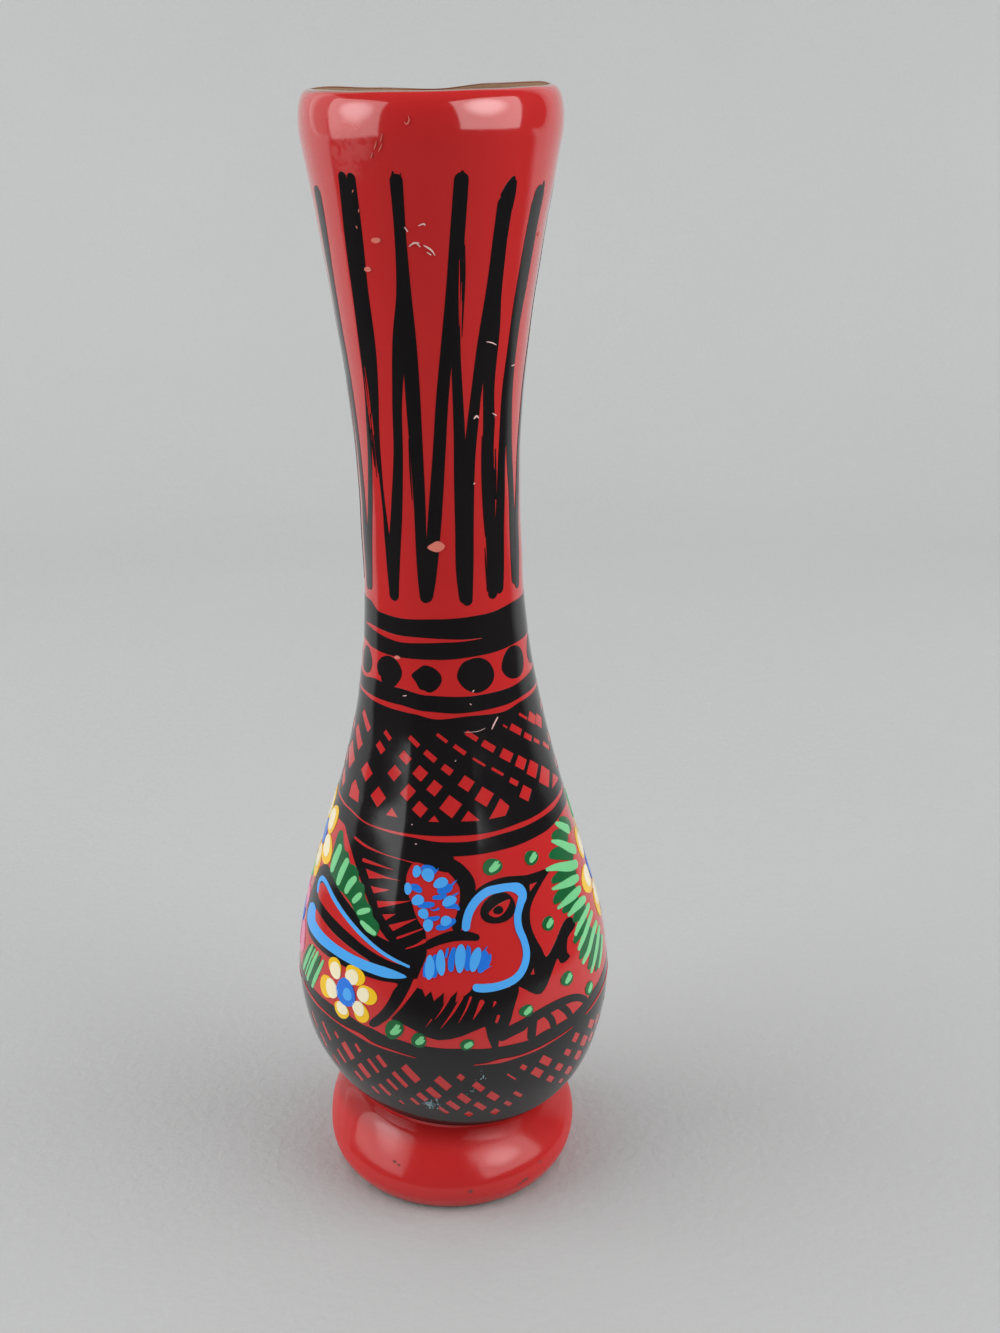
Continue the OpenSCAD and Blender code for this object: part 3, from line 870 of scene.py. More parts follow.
bird.stroke((34, 51.3, 1.5), (37.3, 49, 1.5), (38.8, 46.4, 1.6))
bird.stroke((41, 51.3, 1.5), (44.8, 49, 1.6), (47.2, 46.6, 1.6))
bird.lay("bird_black", BLACK)

# Red left between the black strokes
gaps = Paint(MIDDLE)
gaps.stroke((-72, 128.4, 0.2), (-60, 128.5, 0.8), (-45, 128.1, 1.1), (-30, 127.8, 1.3), (-15, 128, 1.1),
            (0, 128.05, 0.7), (15, 127.9, 0.35), (28, 127.9, 0.05))
gaps.stroke((150, 128.2, 0.1), (175, 128.3, 0.8), (200, 128, 1.1), (225, 128.2, 0.8), (250, 128.1, 0.1))
for points in (
        ((-47.9, 179, 0.05), (-47.7, 174, 0.3), (-47.4, 169, 0.15)),
        ((-46.3, 181, 0.05), (-46, 176, 0.3), (-46.1, 172, 0.3)),
        ((14.7, 201, 0.05), (14.9, 195, 0.22), (15.1, 189, 0.08)),
        ((16, 197, 0.05), (15.8, 192, 0.22), (15.9, 187, 0.06)),
        ((41.8, 171, 0.1), (41.6, 166, 0.25), (41.9, 161, 0.1))):
    gaps.stroke(*points)
gaps.stroke((-49, 85.9, 0.5), (-40, 85.2, 0.45), (-30, 84.8, 0.2), (-20, 84.4, 0.15), (-12, 83.9, 0.3))
gaps.stroke((-41, 82.4, 0.8), (-34, 82.4, 0.5), (-24, 82.2, 0.1))
gaps.patch((-38, 80.9), (-33, 80.8), (-26, 80.5), (-20, 80.3), (-28, 80.2), (-35.5, 79.3), smooth=1)
gaps.patch((-34, 78), (-29, 78.1), (-24.5, 78.2), (-32, 76.8), smooth=1)
gaps.patch((-30, 75.5), (-24, 76), (-14.5, 76.8), (-22, 75.5), (-29, 74.3), smooth=1)
gaps.patch((-26.8, 73.2), (-21, 73.8), (-25, 72.2), smooth=1)
gaps.patch((-23.5, 71.4), (-19, 72.3), (-11.5, 73.6), (-17, 71.9), (-21.5, 70.4), smooth=1)
gaps.stroke((-19.8, 69.1, 0.5), (-15, 70.3, 0.4), (-9.5, 71.6, 0.25))
gaps.stroke((-16, 67.3, 0.2), (-12, 68.2, 0.4), (-8.2, 69.4, 0.8))
gaps.patch((-67.5, 70.2), (-68.3, 72), (-65, 73.3), (-58, 72.6), (-50, 70.9), (-40, 68.7), (-30, 66.3),
           (-20, 64.6), (-16, 64), (-22, 64.4), (-30, 65.5), (-40, 67.2), (-50, 68.5), (-60, 69.4))
gaps.patch((-66, 67.3), (-60, 66.9), (-50, 65.8), (-40, 64.7), (-30, 63.3), (-40, 63.7), (-50, 64.1),
           (-60, 64.6), (-66, 65))
gaps.stroke((-20.8, 52.7, 0.1), (-16.5, 55.9, 0.5), (-13, 59.2, 1.1), (-11, 61.5, 1.6))
gaps.stroke((0.2, 58.2, 0.7), (-2.5, 55.3, 0.3), (-5, 53.3, 0.05))
gaps.stroke((4.8, 58.2, 0.6), (1, 54.6, 0.45), (-3, 51.4, 0.05))
gaps.stroke((7.8, 58, 0.5), (5.5, 55, 0.35), (3, 52.5, 0.05))
gaps.stroke((11.8, 57, 1.2), (10, 55, 0.7), (8, 53, 0.05))
gaps.stroke((16.3, 56.3, 0.8), (15.2, 55.2, 0.1))
gaps.stroke((17.2, 53.3, 0.7), (16, 51.6, 0.5))
gaps.stroke((-6, 53.4, 0.25), (-8, 51.6, 0.05))
gaps.patch((36.3, 76.1), (40.5, 77.3), (36.8, 77.4), smooth=1)
gaps.patch((30.6, 60), (32, 61), (32, 59.8), smooth=1)
gaps.patch((16.6, 73.9), (18.5, 74.7), (21, 75.3), (24, 75.7), (26.4, 75.7), (25, 74.4), (22.5, 73.3),
           (20, 72.9), (18, 73.2))
gaps.stroke((-71, 49.3, 0.2), (-60, 48.2, 0.6), (-48, 47.4, 0.3), (-40, 46.9, 0.5), (-33, 46.4, 1),
            (-28, 45.5, 0.5), (-20, 44.9, 0.35), (-12, 44.1, 0.1))
gaps.stroke((8, 42.4, 0.15), (13, 42.4, 0.35), (17, 42.5, 0.9), (24, 42.6, 0.4), (31, 42.9, 0.45),
            (39, 43.5, 0.3), (48, 44.1, 0.1))
gaps.stroke((56, 44.8, 0.2), (65, 45.6, 0.5), (75, 46.3, 0.4), (100, 46.8, 0.5), (150, 46.2, 0.3),
            (200, 46.6, 0.6), (250, 47.4, 0.5), (285, 48.8, 0.2))
gaps.lay("red_between_strokes", RED)
pupil = Paint(HIGH)
pupil.dab(20.7, 74.2, 1.05, 0.85)
pupil.lay("bird_pupil_black", BLACK)

# Blue outline and dabs of the bird
blue = Paint(HIGH)
blue.stroke((7, 71, 1.6), (7.6, 73, 1.7), (9.2, 75, 1.7), (12.5, 76.9, 1.7), (17, 78.1, 1.7),
            (22, 78.3, 1.6), (27, 78.1, 1.6), (31, 77.3, 2.2), (32.4, 75.8, 2), (30.6, 74.2, 1.6),
            (28.7, 72.2, 1.6), (28.4, 69.8, 1.6), (29.8, 67, 1.5), (30, 64.3, 1.6), (27.8, 61.6, 1.6),
            (24, 60, 1.6), (18, 59.3, 1.6), (12, 59.4, 1.7), (8.5, 59.9, 1.4))
blue.stroke((-68, 70.4, 1), (-69.4, 72.2, 1.2), (-67.5, 73.8, 1.1), (-62, 73.9, 1), (-54, 72.4, 1),
            (-44, 70.2, 0.9), (-34, 67.8, 0.8), (-24, 65.5, 0.7), (-14, 63.8, 0.5))
blue.patch((-75, 64.6), (-74, 66.6), (-70, 67.7), (-66.5, 67.2), (-65, 65.4), (-60, 64.7), (-50, 64.1),
           (-40, 63.6), (-30, 63.2), (-21, 62.8), (-15, 61.7), (-22, 60.9), (-30, 61.1), (-40, 61.5),
           (-50, 61.8), (-60, 61.9), (-70, 62.3), (-74, 63.2))
for spot in (
        (-13, 82.5, 0.9, 1.15), (-8, 82, 1.3, 1.3, 30), (-2.5, 80.5, 1.55, 0.95, 25),
        (-16.5, 79, 0.75, 1.2), (1, 77, 1.45, 0.95, 20), (-12, 77, 1.25, 1.05, 10), (-9.5, 74.5, 1.05, 1),
        (-7.5, 72.3, 1.05, 1.15), (-0.5, 73.2, 1.15, 0.95, 5), (-6.7, 64, 1, 2.4), (-2.7, 65, 0.95, 2.5),
        (4.5, 65.8, 1.1, 2.7, -6), (10, 65.3, 1.05, 2.4, -22), (-39, 54.8, 1.3, 1.3)):
    blue.dab(*spot)
blue.lay("bird_light_blue", LIGHT_BLUE)

shade = Paint(MIDDLE + 0.02)
for points in (
        ((-11, 83.4, 1), (-7, 83, 1.6), (-4.5, 82.4, 1)), ((-4, 78.8, 1), (0, 79.4, 1.7), (2.5, 79.8, 1)),
        ((-16, 79.5, 0.8), (-13, 79.3, 1.4), (-10.5, 78.6, 0.8)),
        ((-12, 76, 0.8), (-8, 76.2, 1.2), (-5, 76.4, 0.6)), ((-1, 76, 0.8), (3, 76, 1.1), (5, 75.2, 0.4)),
        ((-9, 73.4, 0.8), (-5, 73.6, 0.9), (-3, 74, 0.5)),
        ((-4.5, 71.8, 0.8), (-1, 72.2, 1.4), (3.3, 73.4, 1)),
        ((-6, 77.6, 0.6), (-2.5, 77.8, 1), (0, 78.2, 0.6)),
        ((-5.2, 62, 1.2), (-5, 64.5, 1.5), (-4.4, 66.6, 1)),
        ((-8.2, 62, 1), (-8.4, 63.5, 0.8), (-8.2, 65, 0.4)),
        ((1, 63.2, 1), (1.2, 65.5, 1.3), (2.4, 68, 0.7)), ((7, 63.2, 1.2), (7.2, 65.5, 1.4), (8, 68, 0.7)),
        ((11, 62.6, 1), (13.2, 64.6, 2), (13.8, 66.8, 1)),
        ((13.5, 63.4, 0.8), (15.2, 64.8, 0.7), (15.8, 66, 0.3)),
        ((-0.8, 66, 0.5), (-0.2, 67.4, 0.5), (0, 68, 0.2)),
        ((12.5, 64, 0.6), (14.4, 64.8, 0.4), (16.2, 65.8, 0.08)),
        ((12.8, 63.2, 0.6), (14.4, 63.4, 0.3), (15.8, 63.6, 0.08)),
        ((12, 66, 0.6), (13.8, 66.9, 0.3), (15, 67.6, 0.08)), ((6.6, 66.5, 0.5), (7.6, 68.4, 0.15)),
        ((-10, 82, 0.5), (-5, 82.6, 0.4), (-3.4, 83.4, 0.08)),
        ((0, 79, 0.6), (3, 80.4, 0.4), (4.4, 81, 0.08)), ((1, 77.6, 0.5), (4, 78.3, 0.3), (5, 78.6, 0.08)),
        ((-3, 75.6, 0.5), (-5.4, 75.2, 0.25), (-7, 75.6, 0.08))):
    shade.stroke(*points)
shade.dab(-40, 55, 2.8, 2.9)
shade.lay("bird_mid_blue", MID_BLUE)

# Leaves
leaf_dark = Paint(MIDDLE)
leaf_light = Paint(HIGH)
leaf_dark.patch((-63.5, 83.5), (-62, 85.2), (-59, 85.4), (-57, 84), (-54, 82.4), (-51, 82.3), (-48.5, 80.6),
                (-45, 80.6), (-42, 79.6), (-40.8, 78.2), (-37.5, 77.6), (-36.5, 76), (-34.8, 74.8),
                (-32, 73.8), (-30.8, 72.3), (-28, 71.2), (-27.5, 70), (-29, 68.5), (-32, 69), (-37, 70.8),
                (-39.5, 71.8), (-43.5, 73.4), (-48, 74.3), (-53, 74.8), (-58, 76), (-61, 76.2), (-63.5, 79))
for points in (
        ((-60.5, 76.6, 1.6), (-59.8, 79.5, 2.1), (-57.5, 83, 1.6)),
        ((-53.5, 75.2, 1.3), (-52.5, 78, 1.8), (-50, 81.3, 1.4)),
        ((-47.3, 74.6, 1.2), (-45.5, 76.8, 1.6), (-42.5, 78.6, 1.2)),
        ((-42.2, 73.6, 1), (-40, 74.9, 1.3), (-38, 76, 0.9)),
        ((-38.8, 71.9, 0.8), (-36, 72.7, 1.2), (-32.5, 73.5, 0.8)),
        ((-36.5, 70.7, 0.7), (-32.5, 69.7, 1.3), (-28.5, 69, 0.8)),
        ((-63, 60, 0.7), (-67, 56, 1.3), (-71, 52, 1)),
        ((-58, 59.8, 0.7), (-62, 55.5, 1.2), (-66, 51, 0.9)),
        ((-53.6, 59, 0.6), (-57.5, 54.6, 1.1), (-61, 50.8, 0.8)),
        ((-60.5, 59.8, 0.4), (-64, 56, 0.6), (-68, 51.6, 0.4)),
        ((-82.5, 74.5, 0.8), (-85, 72.5, 1.8), (-88, 69.5, 1))):
    leaf_light.stroke(*points)
for points in (
        ((-61.5, 60, 0.7), (-65, 56, 2), (-69, 51.6, 1.4)),
        ((-56, 59.4, 0.6), (-60, 55, 2), (-63.5, 51, 1.4)),
        ((-65.5, 59.4, 0.6), (-70, 55, 1.6), (-73, 51.6, 1))):
    leaf_dark.stroke(*points)
for points in (
        ((61.5, 86.2, 0.6), (66, 84.8, 1.5), (74, 82.2, 2)),
        ((55, 83.5, 0.5), (61, 81.9, 1.4), (69, 79.2, 2), (75, 77.6, 2)),
        ((47, 78.8, 0.6), (54, 78.1, 1.5), (64, 76.3, 2.1), (72, 75.2, 1.6)),
        ((48, 74.6, 0.5), (55, 74.1, 1.4), (63, 73.4, 1.9), (69, 72.8, 1.2)),
        ((48.5, 70.4, 0.5), (55, 70.7, 1.5), (62, 70.7, 1.9), (68, 70.6, 1.2)),
        ((53.5, 67.8, 0.6), (60, 68.2, 1.7), (66, 68.1, 1.8), (70, 67.8, 1)),
        ((55, 63.1, 0.6), (60, 64.5, 1.4), (67, 65.4, 1.4), (72, 65.9, 1)),
        ((55, 59.9, 0.6), (60, 61.4, 1.3), (66, 62.9, 1.4), (73, 64, 1)),
        ((56, 56.6, 0.7), (62, 58.2, 1.4), (68, 60.2, 1.5), (75, 61, 1.2)),
        ((61, 53, 0.7), (66, 55.4, 1.5), (72, 58, 1.6), (77, 59.4, 1)),
        ((68, 52, 0.7), (72, 54, 1.4), (78, 57, 1.4))):
    leaf_light.stroke(*points)
for points in (
        ((66, 86.2, 0.8), (72, 84.4, 2), (78, 82, 2)), ((56, 84.2, 0.8), (62, 83.6, 1.9), (70, 81.4, 2)),
        ((51, 80.9, 0.8), (56, 80.6, 2), (64, 79.2, 2.4), (70, 77.2, 1.6)),
        ((48.8, 75.9, 0.8), (54, 76, 1.8), (61, 75.4, 2), (68, 74.2, 1.4)),
        ((47.2, 71.8, 1), (51, 72.4, 1.9), (57, 72.4, 2), (64, 71.8, 1.6)),
        ((51, 69.2, 0.8), (57, 69.4, 1.8), (64, 69.4, 1.8)),
        ((56, 66, 0.8), (61, 66.5, 2.2), (68, 66.8, 2)),
        ((53.5, 61.9, 0.8), (58, 63, 1.8), (66, 64.4, 1.6)),
        ((55, 58, 0.8), (60, 59.6, 2), (68, 61.6, 1.8)),
        ((59.5, 54.4, 0.8), (64, 56.2, 2), (71, 59.4, 1.8)),
        ((65, 52.2, 0.8), (70, 54.8, 1.8), (76, 57.6, 1.6))):
    leaf_dark.stroke(*[(a, z, 1.2 * wide) for a, z, wide in points])

# Small green dots with a light middle
for a, z, wide, high, tilt in (
        (20.5, 82.7, 2, 1.7, 0), (40.5, 82.3, 1.75, 1.5, 0), (42.2, 68.5, 1.7, 1.4, 0),
        (46.5, 55.8, 1.85, 1.6, 0), (27.5, 52.7, 1.6, 1.35, 0), (59, 50.1, 1.6, 1.6, 0),
        (5.8, 47.5, 1.5, 1.2, 10), (-10.7, 48.4, 1.5, 1.8, -20), (-19.5, 50.1, 1.9, 2.4, -28)):
    leaf_dark.dab(a, z, wide, high, tilt)
    k = arc(z)
    leaf_light.stroke((a - 0.4 * wide / k, z - 0.45 * high, 0.9), (a + 0.1 * wide / k, z - 0.1 * high, 1.2),
                      (a + 0.7 * wide / k, z + 0.55 * high, 0.3))
    leaf_light.stroke((a - 0.1 * wide / k, z - 0.4 * high, 0.8), (a + 0.45 * wide / k, z - 0.15 * high, 0.7),
                      (a + 0.85 * wide / k, z + 0.15 * high, 0.2))
    leaf_light.stroke((a - 0.2 * wide / k, z - 0.2 * high, 0.6), (a + 0.1 * wide / k, z + 0.15 * high, 0.6),
                      (a + 0.4 * wide / k, z + 0.6 * high, 0.2))

# Flowers
petal_outer = Paint(MIDDLE)
petal_inner = Paint(HIGH)
petal_pink = Paint(MIDDLE)
for spot in (
        (-46.5, 59.2, 2.15, 2), (-36, 59.5, 2.5, 2, -12), (-30.2, 56.2, 2.3, 2, -18),
        (-32.6, 51.9, 2, 2.1, 30), (-41.8, 50.6, 2.1, 1.9), (-50, 54, 2.7, 2.5)):
    petal_outer.dab(*spot)
for spot in (
        (-46, 58.6, 1.8, 1.7), (-37.4, 58.9, 1.75, 1.65), (-31.9, 56, 1.55, 1.55), (-33.8, 52.7, 1.6, 1.55),
        (-41.5, 51.1, 1.6, 1.4), (-47.4, 54.2, 1.95, 2.1)):
    petal_inner.dab(*spot)


def flower(a, z, reach, wide, outer, count=6, start=0):
    """A painted flower: petals round a blue middle, pale inside."""
    k = arc(z)
    for i in range(count):
        way = math.radians(start + 360 * i / count)
        x, y = math.cos(way), math.sin(way)
        outer.dab(a + reach * x / k, z + reach * y, wide, 0.82 * wide, math.degrees(way))
        petal_inner.dab(a + 0.88 * reach * x / k, z + 0.88 * reach * y + 0.12 * wide,
                        0.7 * wide, 0.62 * wide, math.degrees(way))


def leaf_ring(a, z, near, far, start, end, count):
    """Leaves round a flower, each a dark stroke with a light one beside it."""
    k = arc(z)
    for i in range(count):
        way = math.radians(start + (end - start) * i / (count - 1))
        beside = way + 0.13
        for paint, heading, wide in ((leaf_dark, way, 2), (leaf_light, beside, 1.8)):
            x, y = math.cos(heading), math.sin(heading)
            reach = far + jitter(0.8)
            paint.stroke((a + reach * x / k, z + reach * y, 0.6),
                         (a + 0.5 * (near + reach) * x / k, z + 0.5 * (near + reach) * y, wide),
                         (a + near * x / k, z + near * y, 1))


flower(93, 70, 7.8, 3.7, petal_outer, 6, 0)
leaf_ring(93, 70, 10.8, 17, -78, 78, 9)
flower(-84, 81, 6.2, 3.4, petal_outer, 6, -15)
for a, z, wide, high in (
        (-77.5, 57.8, 2.7, 3.5), (-82.5, 66, 2.4, 2.4), (-92, 68.5, 2.8, 2.8), (-98, 62, 3.2, 2.6),
        (-90, 55.5, 2.8, 2.8)):
    petal_pink.dab(a, z, wide, high)
leaf_ring(-92, 68, 8, 15, 120, 240, 8)
flower(-128, 69, 5.4, 2.8, petal_pink, 7, 0)
leaf_ring(-128, 69, 7.8, 14, -80, 80, 9)
leaf_ring(-128, 69, 7.8, 14, 100, 260, 9)
flower(180, 68, 6, 3.2, petal_outer, 7, 12)
leaf_ring(180, 68, 9, 15.5, -75, 255, 20)
flower(129, 62, 4.4, 2.3, petal_pink, 6, 0)
leaf_ring(129, 62, 6.6, 11.5, 0, 336, 15)
for a, z in (
        (118, 82), (140, 80), (154, 83), (206, 83), (214, 54), (152, 54), (107, 56), (-150, 60), (222, 76),
        (100, 84)):
    leaf_dark.dab(a, z, 1.8, 1.5)
    leaf_light.dab(a + 0.6, z, 0.9, 0.7, 20)
middles = Paint(MIDDLE + 0.03)
for a, z, size in (
        (93, 70, 3.2), (-84, 81, 2.6), (-87, 62, 2.8), (-128, 69, 2.6), (180, 68, 3), (129, 62, 2)):
    middles.dab(a, z, size, size)
middles.lay("flower_middles_blue", MID_BLUE)
leaf_dark.lay("leaves_dark_green", DARK_GREEN)
leaf_light.lay("leaves_light_green", LIGHT_GREEN)
petal_outer.lay("petals_yellow", YELLOW)
petal_inner.lay("petals_cream", CREAM)
petal_pink.lay("petals_pink", PINK)

# Chips, scratches and bare spots
chips = Paint(TOP)
chips.patch((-8, 146.8), (-4, 147.7), (0, 148.1), (4.3, 147.1), (1, 146.1), (-3, 146), smooth=2)
for a, z, wide, high in (
        (-26, 204.4, 1, 0.45), (-33, 199.2, 0.8, 0.4), (-32, 123.9, 0.7, 0.35), (69, 204, 0.6, 0.3)):
    chips.dab(a, z, wide, high)
for a, z, lean, rise in (
        (-21.5, 220.2, 1.6, 1.5), (-19.6, 219.8, 1.9, 1.4), (-18.4, 221.4, 1.2, 1.5),
        (-23.4, 218.6, 1, 1.1), (-35.5, 212.6, 0.7, 0.5), (-36.4, 206.8, 0.6, -0.5),
        (-33.6, 209.2, 0.4, 0.6)):
    chips.stroke((a, z, 0.05), (a + 0.5 * lean, z + 0.4 * rise, 0.17), (a + lean, z + rise, 0.05))
chips.stroke((-8, 224.9, 0.06), (-7, 224.5, 0.22), (-6, 225.1, 0.2), (-6.3, 225.9, 0.06))
chips.lay("chipped_enamel", CHALK)
scratches = Paint(TOP)
for points in (
        ((-11, 206.8, 0.15), (-9.5, 206, 0.35)), ((-4.5, 207, 0.15), (-2, 207.3, 0.4), (-1.2, 207, 0.15)),
        ((-9.5, 203.4, 0.15), (-7, 204, 0.4), (-4.5, 204, 0.25)), ((-5.5, 203.9, 0.3), (-4, 203.3, 0.15)),
        ((-2.5, 203.6, 0.15), (-0.5, 203.2, 0.4), (1.5, 202.6, 0.4), (2.8, 201.8, 0.15)),
        ((-1, 202.4, 0.15), (1, 201.9, 0.3)), ((25, 171.4, 0.2), (27, 171.9, 0.5), (28.5, 171.4, 0.2)),
        ((39, 172, 0.15), (42.5, 171.4, 0.3)), ((32, 185.7, 0.12), (36, 185.4, 0.3), (39, 184.9, 0.12)),
        ((24.8, 158.8, 0.25), (26, 159, 0.25)), ((54.5, 180.3, 0.12), (57.5, 180.4, 0.3)),
        ((29, 109.4, 0.12), (31, 110.4, 0.35), (34, 111.6, 0.2)), ((16.6, 115.2, 0.2), (17.6, 114.9, 0.25)),
        ((18.8, 117.4, 0.3), (20, 117.8, 0.25)), ((-26.5, 116.4, 0.15), (-24, 116.6, 0.3)),
        ((12, 109.6, 0.03), (20, 109.5, 0.09), (25, 109.9, 0.03)), ((6, 104, 0.2), (6.6, 104.2, 0.2)),
        ((-16.8, 91.3, 0.2), (-16.2, 91.5, 0.2)), ((-14.4, 87.7, 0.25), (-13.6, 87.8, 0.25))):
    scratches.stroke(*[(a, z, 0.65 * wide) for a, z, wide in points])
scratches.lay("scratched_enamel_marks", SCRATCH)
specks = Paint(TOP)
for a, z, spread, count in (
        (-8.8, 31, 1, 26), (-5.4, 31.8, 0.9, 12), (6.7, 35.4, 0.6, 8), (11, 39.4, 0.8, 8)):
    for i in range(count):
        size = rnd.choice((0.05, 0.07, 0.1, 0.16))
        specks.dab(a + jitter(1.5 * spread) + jitter(1.5 * spread), z + jitter(spread) + jitter(spread),
                   size, size)
for i in range(5):
    a, z = -9 + jitter(1), 30.9 + jitter(0.4)
    specks.stroke((a - 0.9, z + 0.5 + jitter(0.2), 0.08), (a, z, 0.26),
                  (a + 0.8, z - 0.4 + jitter(0.3), 0.06))
specks.lay("spattered_blue_specks", SPECK)
bare = Paint(LOW)
for a, z, wide, high in (
        (6.6, 6.4, 0.5, 0.45), (34, 5.2, 1, 0.5), (31, 4.6, 0.6, 0.3), (-28, 12, 0.5, 0.25),
        (-25.8, 11.6, 0.35, 0.25), (43, 8, 0.4, 0.3)):
    bare.dab(a, z, wide, high)
bare.lay("bare_clay_spots", WORN)

# Stage, light and camera


# The felt in metres: its reach to a side, its front, where it bends up, the bend's radius, and its top
FELT_SIDE = 1.8
FELT_FRONT = -1.4
FELT_BEND = 0.5
BEND_R = 0.45
FELT_TOP = 2


def felt_sweep():
    """The pale felt that the vase stands on, swept up behind it."""
    bm = bmesh.new()
    sweep = [(FELT_FRONT, 0), (-0.4, 0), (FELT_BEND, 0)]
    for degrees in range(6, 91, 6):
        turn = math.radians(degrees)
        sweep.append((FELT_BEND + BEND_R * math.sin(turn), BEND_R - BEND_R * math.cos(turn)))
    sweep += [(FELT_BEND + BEND_R, 1.2), (FELT_BEND + BEND_R, FELT_TOP)]
    line = [bm.verts.new((-FELT_SIDE, y, z)) for y, z in sweep]
    edges = [bm.edges.new(pair) for pair in zip(line, line[1:])]
    grown = bmesh.ops.extrude_edge_only(bm, edges=edges)["geom"]
    far = [g for g in grown if isinstance(g, bmesh.types.BMVert)]
    bmesh.ops.translate(bm, vec=(2 * FELT_SIDE, 0, 0), verts=far)
    bmesh.ops.recalc_face_normals(bm, faces=bm.faces)
    pale = felt("pale_felt", rgb(0.525, 0.53, 0.53), rgb(0.46, 0.465, 0.465))
    stage = made("felt_sweep", bm, pale)


def card(name, material, middle, across, upward, gloss_only):
    """A flat thing round the vase, out of the camera's sight: seen by its gloss, or only in its shading."""
    bm = bmesh.new()
    bmesh.ops.create_grid(bm, x_segments=1, y_segments=1, size=0.5)
    for corner in bm.verts:
        corner.co = middle + across * corner.co.x + upward * corner.co.y
    flat = made(name, bm, material)
    flat.visible_camera = False
    flat.visible_shadow = not gloss_only
    flat.visible_diffuse = not gloss_only
    flat.visible_glossy = gloss_only


def dark_sheet():
    """A sheet on the floor that only the vase's gloss sees, dark in front and far out at both sides."""
    f = Finish("dark_sheet")
    f.set(base_color=rgb(0.02, 0.02, 0.02), roughness=1)
    x = f.node("ShaderNodeSeparateXYZ", {}, {0: f.place}, 0)
    y = f.node("ShaderNodeSeparateXYZ", {}, {0: f.place}, 1)
    front = f.rise(y, -0.06, -0.2)
    left = f.rise(x, -0.21, -0.26) * f.rise(y, 0.18, 0.12)
    right = f.rise(x, 0.2, 0.28) * f.rise(y, 0.3, 0.14)
    bright = (1 - front) * (1 - left) * (1 - right)
    clear = f.node("ShaderNodeBsdfTransparent", {}, {})
    shown = f.node("ShaderNodeMixShader", {}, {0: bright, 1: Val(f, f.shader.outputs[0]), 2: clear})
    f.plug(f.tree.nodes["Material Output"].inputs[0], shown)
    middle = Vector((0, 0, 0.003))
    card("dark_sheet", f.material, middle, Vector((4, 0, 0)), Vector((0, 4, 0)), gloss_only=True)


# Point that the lights and bright cards face, and how far off the cards stand
AIM = Vector((0, 0, 0.2))
CARD_AWAY = 0.5


def stand(azimuth, distance, height):
    """A place round the vase, azimuth degrees from the front."""
    way = math.radians(azimuth)
    return Vector((distance * math.sin(way), -distance * math.cos(way), height))


def gleam(name, azimuth, height, wide, high, glow, hot):
    """A bright card with soft edges that only the gloss of the vase sees, brightest round a hot spot."""
    f = Finish(name)
    middle = stand(azimuth, CARD_AWAY, height)
    toward = (AIM - middle).normalized()
    side = toward.cross(Vector((0, 0, 1))).normalized()
    above = side.cross(toward)
    out = f.vector("SUBTRACT", f.place, middle)
    u = f.vector("DOT_PRODUCT", out, side * 2 / wide)
    v = f.vector("DOT_PRODUCT", out, above * 2 / high)
    off = (u - hot[0]) * (u - hot[0]) + (v - hot[1]) * (v - hot[1])
    edges = f.rise(u * u, 1, 0.88) * f.rise(v * v, 1, 0.85)
    f.set(emission_color=edges * (f.rise(off, 0.5, 0) * 1.1 + 0.8))
    f.set(base_color=rgb(0, 0, 0), roughness=1)
    f.shader.inputs["Specular IOR Level"].default_value = 0
    f.shader.inputs["Emission Strength"].default_value = glow
    card(name, f.material, middle, side * wide, above * high, gloss_only=True)


def softbox(name, azimuth, height, distance, wide, high, power, lights=True, gleams=True):
    """A soft light that faces the vase; it can light it, be mirrored in its gloss, or both."""
    light = bpy.data.lights.new(name, "AREA")
    light.shape = "RECTANGLE"
    light.size = wide
    light.size_y = high
    light.energy = power
    lamp = bpy.data.objects.new(name, light)
    lamp.location = stand(azimuth, distance, height)
    lamp.rotation_euler = (AIM - lamp.location).to_track_quat("-Z", "Y").to_euler()
    lamp.visible_camera = False
    lamp.visible_diffuse = lights
    lamp.visible_glossy = gleams
    bpy.context.scene.collection.objects.link(lamp)


def front_flag():
    """A dark card behind the camera that shades the front of the vase."""
    dark = Finish("dark_card")
    dark.set(base_color=rgb(0.03, 0.03, 0.03), roughness=1)
    middle = Vector((0, -0.75, 0.72))
    card("front_flag", dark.material, middle, Vector((0.9, 0, 0)), Vector((0, 0, 0.76)), gloss_only=False)


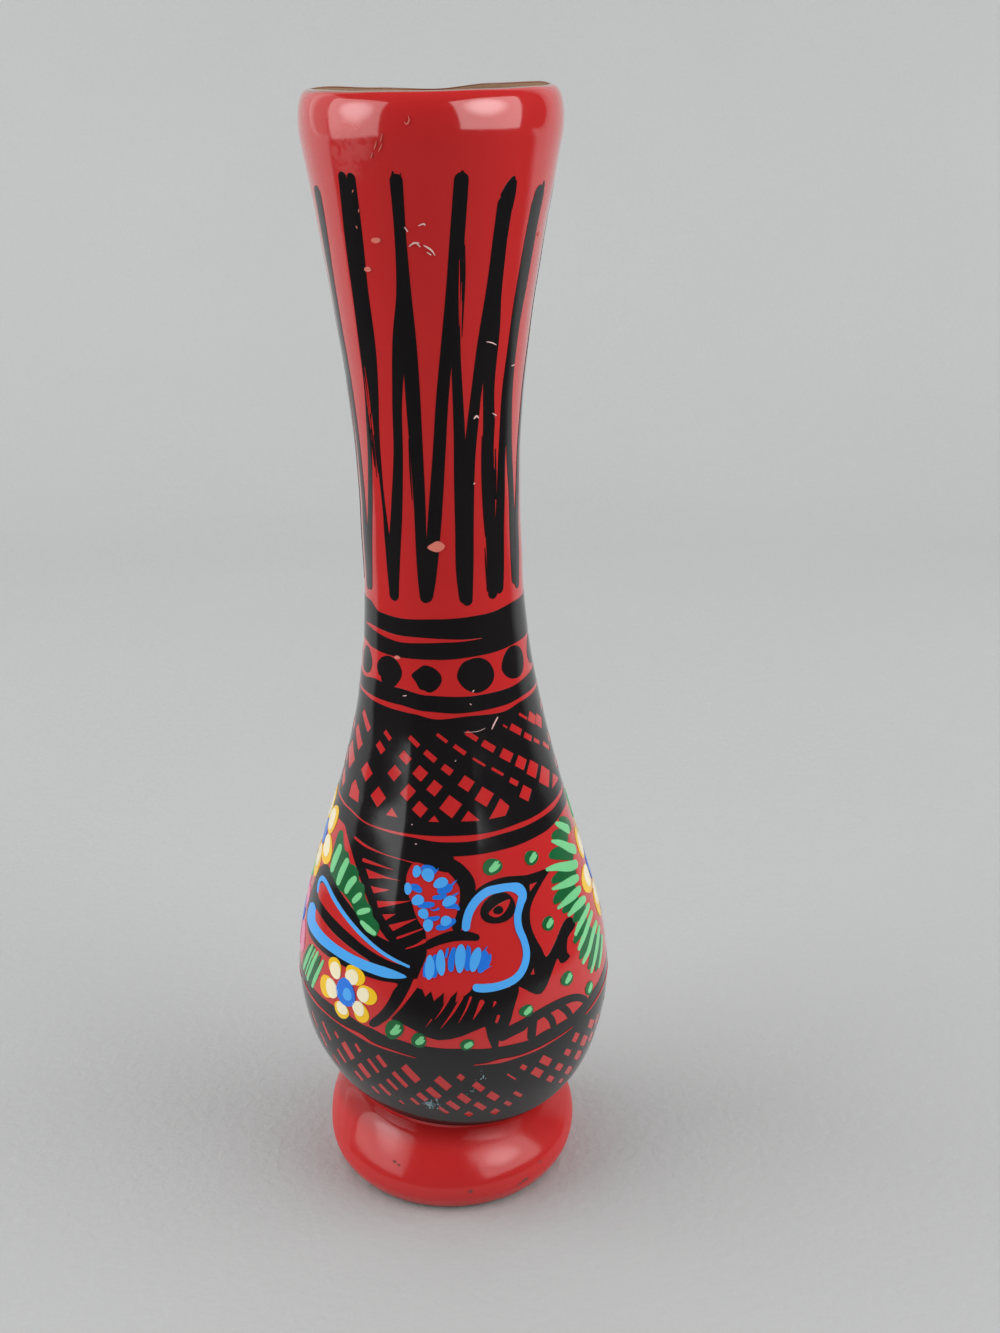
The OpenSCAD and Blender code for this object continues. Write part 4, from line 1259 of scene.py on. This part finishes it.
def even_light():
    """Even light from all round, which the gloss of the vase hardly mirrors."""
    world = bpy.data.worlds.new("even_light")
    bpy.context.scene.world = world
    world.use_nodes = True
    tree = world.node_tree
    path = tree.nodes.new("ShaderNodeLightPath")
    tone = tree.nodes.new("ShaderNodeMix")
    tone.data_type = "RGBA"
    tone.inputs[6].default_value = rgb(0.53, 0.535, 0.535)
    tone.inputs[7].default_value = rgb(0.03, 0.03, 0.03)
    tree.links.new(path.outputs["Is Glossy Ray"], tone.inputs[0])
    tree.links.new(tone.outputs[2], tree.nodes["Background"].inputs["Color"])


felt_sweep()
dark_sheet()
softbox("window_left", -82, 0.75, 1.4, 1.6, 1.1, 13.5, gleams=False)
softbox("window_right", 75, 0.75, 1.4, 1.6, 1.1, 13.5, gleams=False)
softbox("ceiling", 0, 1.6, 0.01, 1.2, 1.2, 6, gleams=False)
softbox("strip_left", -113, 0.6, 1.5, 0.9, 1.6, 2.2, lights=False)
gleam("gleam_left", -68, 0.345, 0.53, 0.51, 2.5, (0.1, 0.12))
gleam("gleam_right", 54, 0.375, 0.62, 0.5, 3.2, (-0.1, 0.2))
front_flag()
even_light()

# The camera: its place in millimetres, its tilt, and its focal length in pixels of the image's longer side
EYE = Vector((11.36, -312.3, 230))
PITCH, ROLL = math.radians(19.976), math.radians(-0.933)
FOCAL, LONG_SIDE = 1600, 1333
SENSOR = 36
camera_data = bpy.data.cameras.new("camera")
camera_data.sensor_width = SENSOR
camera_data.lens = FOCAL / LONG_SIDE * SENSOR
camera = bpy.data.objects.new("camera", camera_data)
forward = Vector((0, math.cos(PITCH), -math.sin(PITCH)))
right, up = Vector((1, 0, 0)), Vector((0, math.sin(PITCH), math.cos(PITCH)))
side = math.cos(ROLL) * right + math.sin(ROLL) * up
above = -math.sin(ROLL) * right + math.cos(ROLL) * up
turned_by = Matrix((side, above, -forward)).transposed().to_4x4()
camera.matrix_world = Matrix.Translation(EYE * MM) @ turned_by
bpy.context.scene.collection.objects.link(camera)
bpy.context.scene.camera = camera
bpy.context.scene.view_settings.view_transform = "Standard"
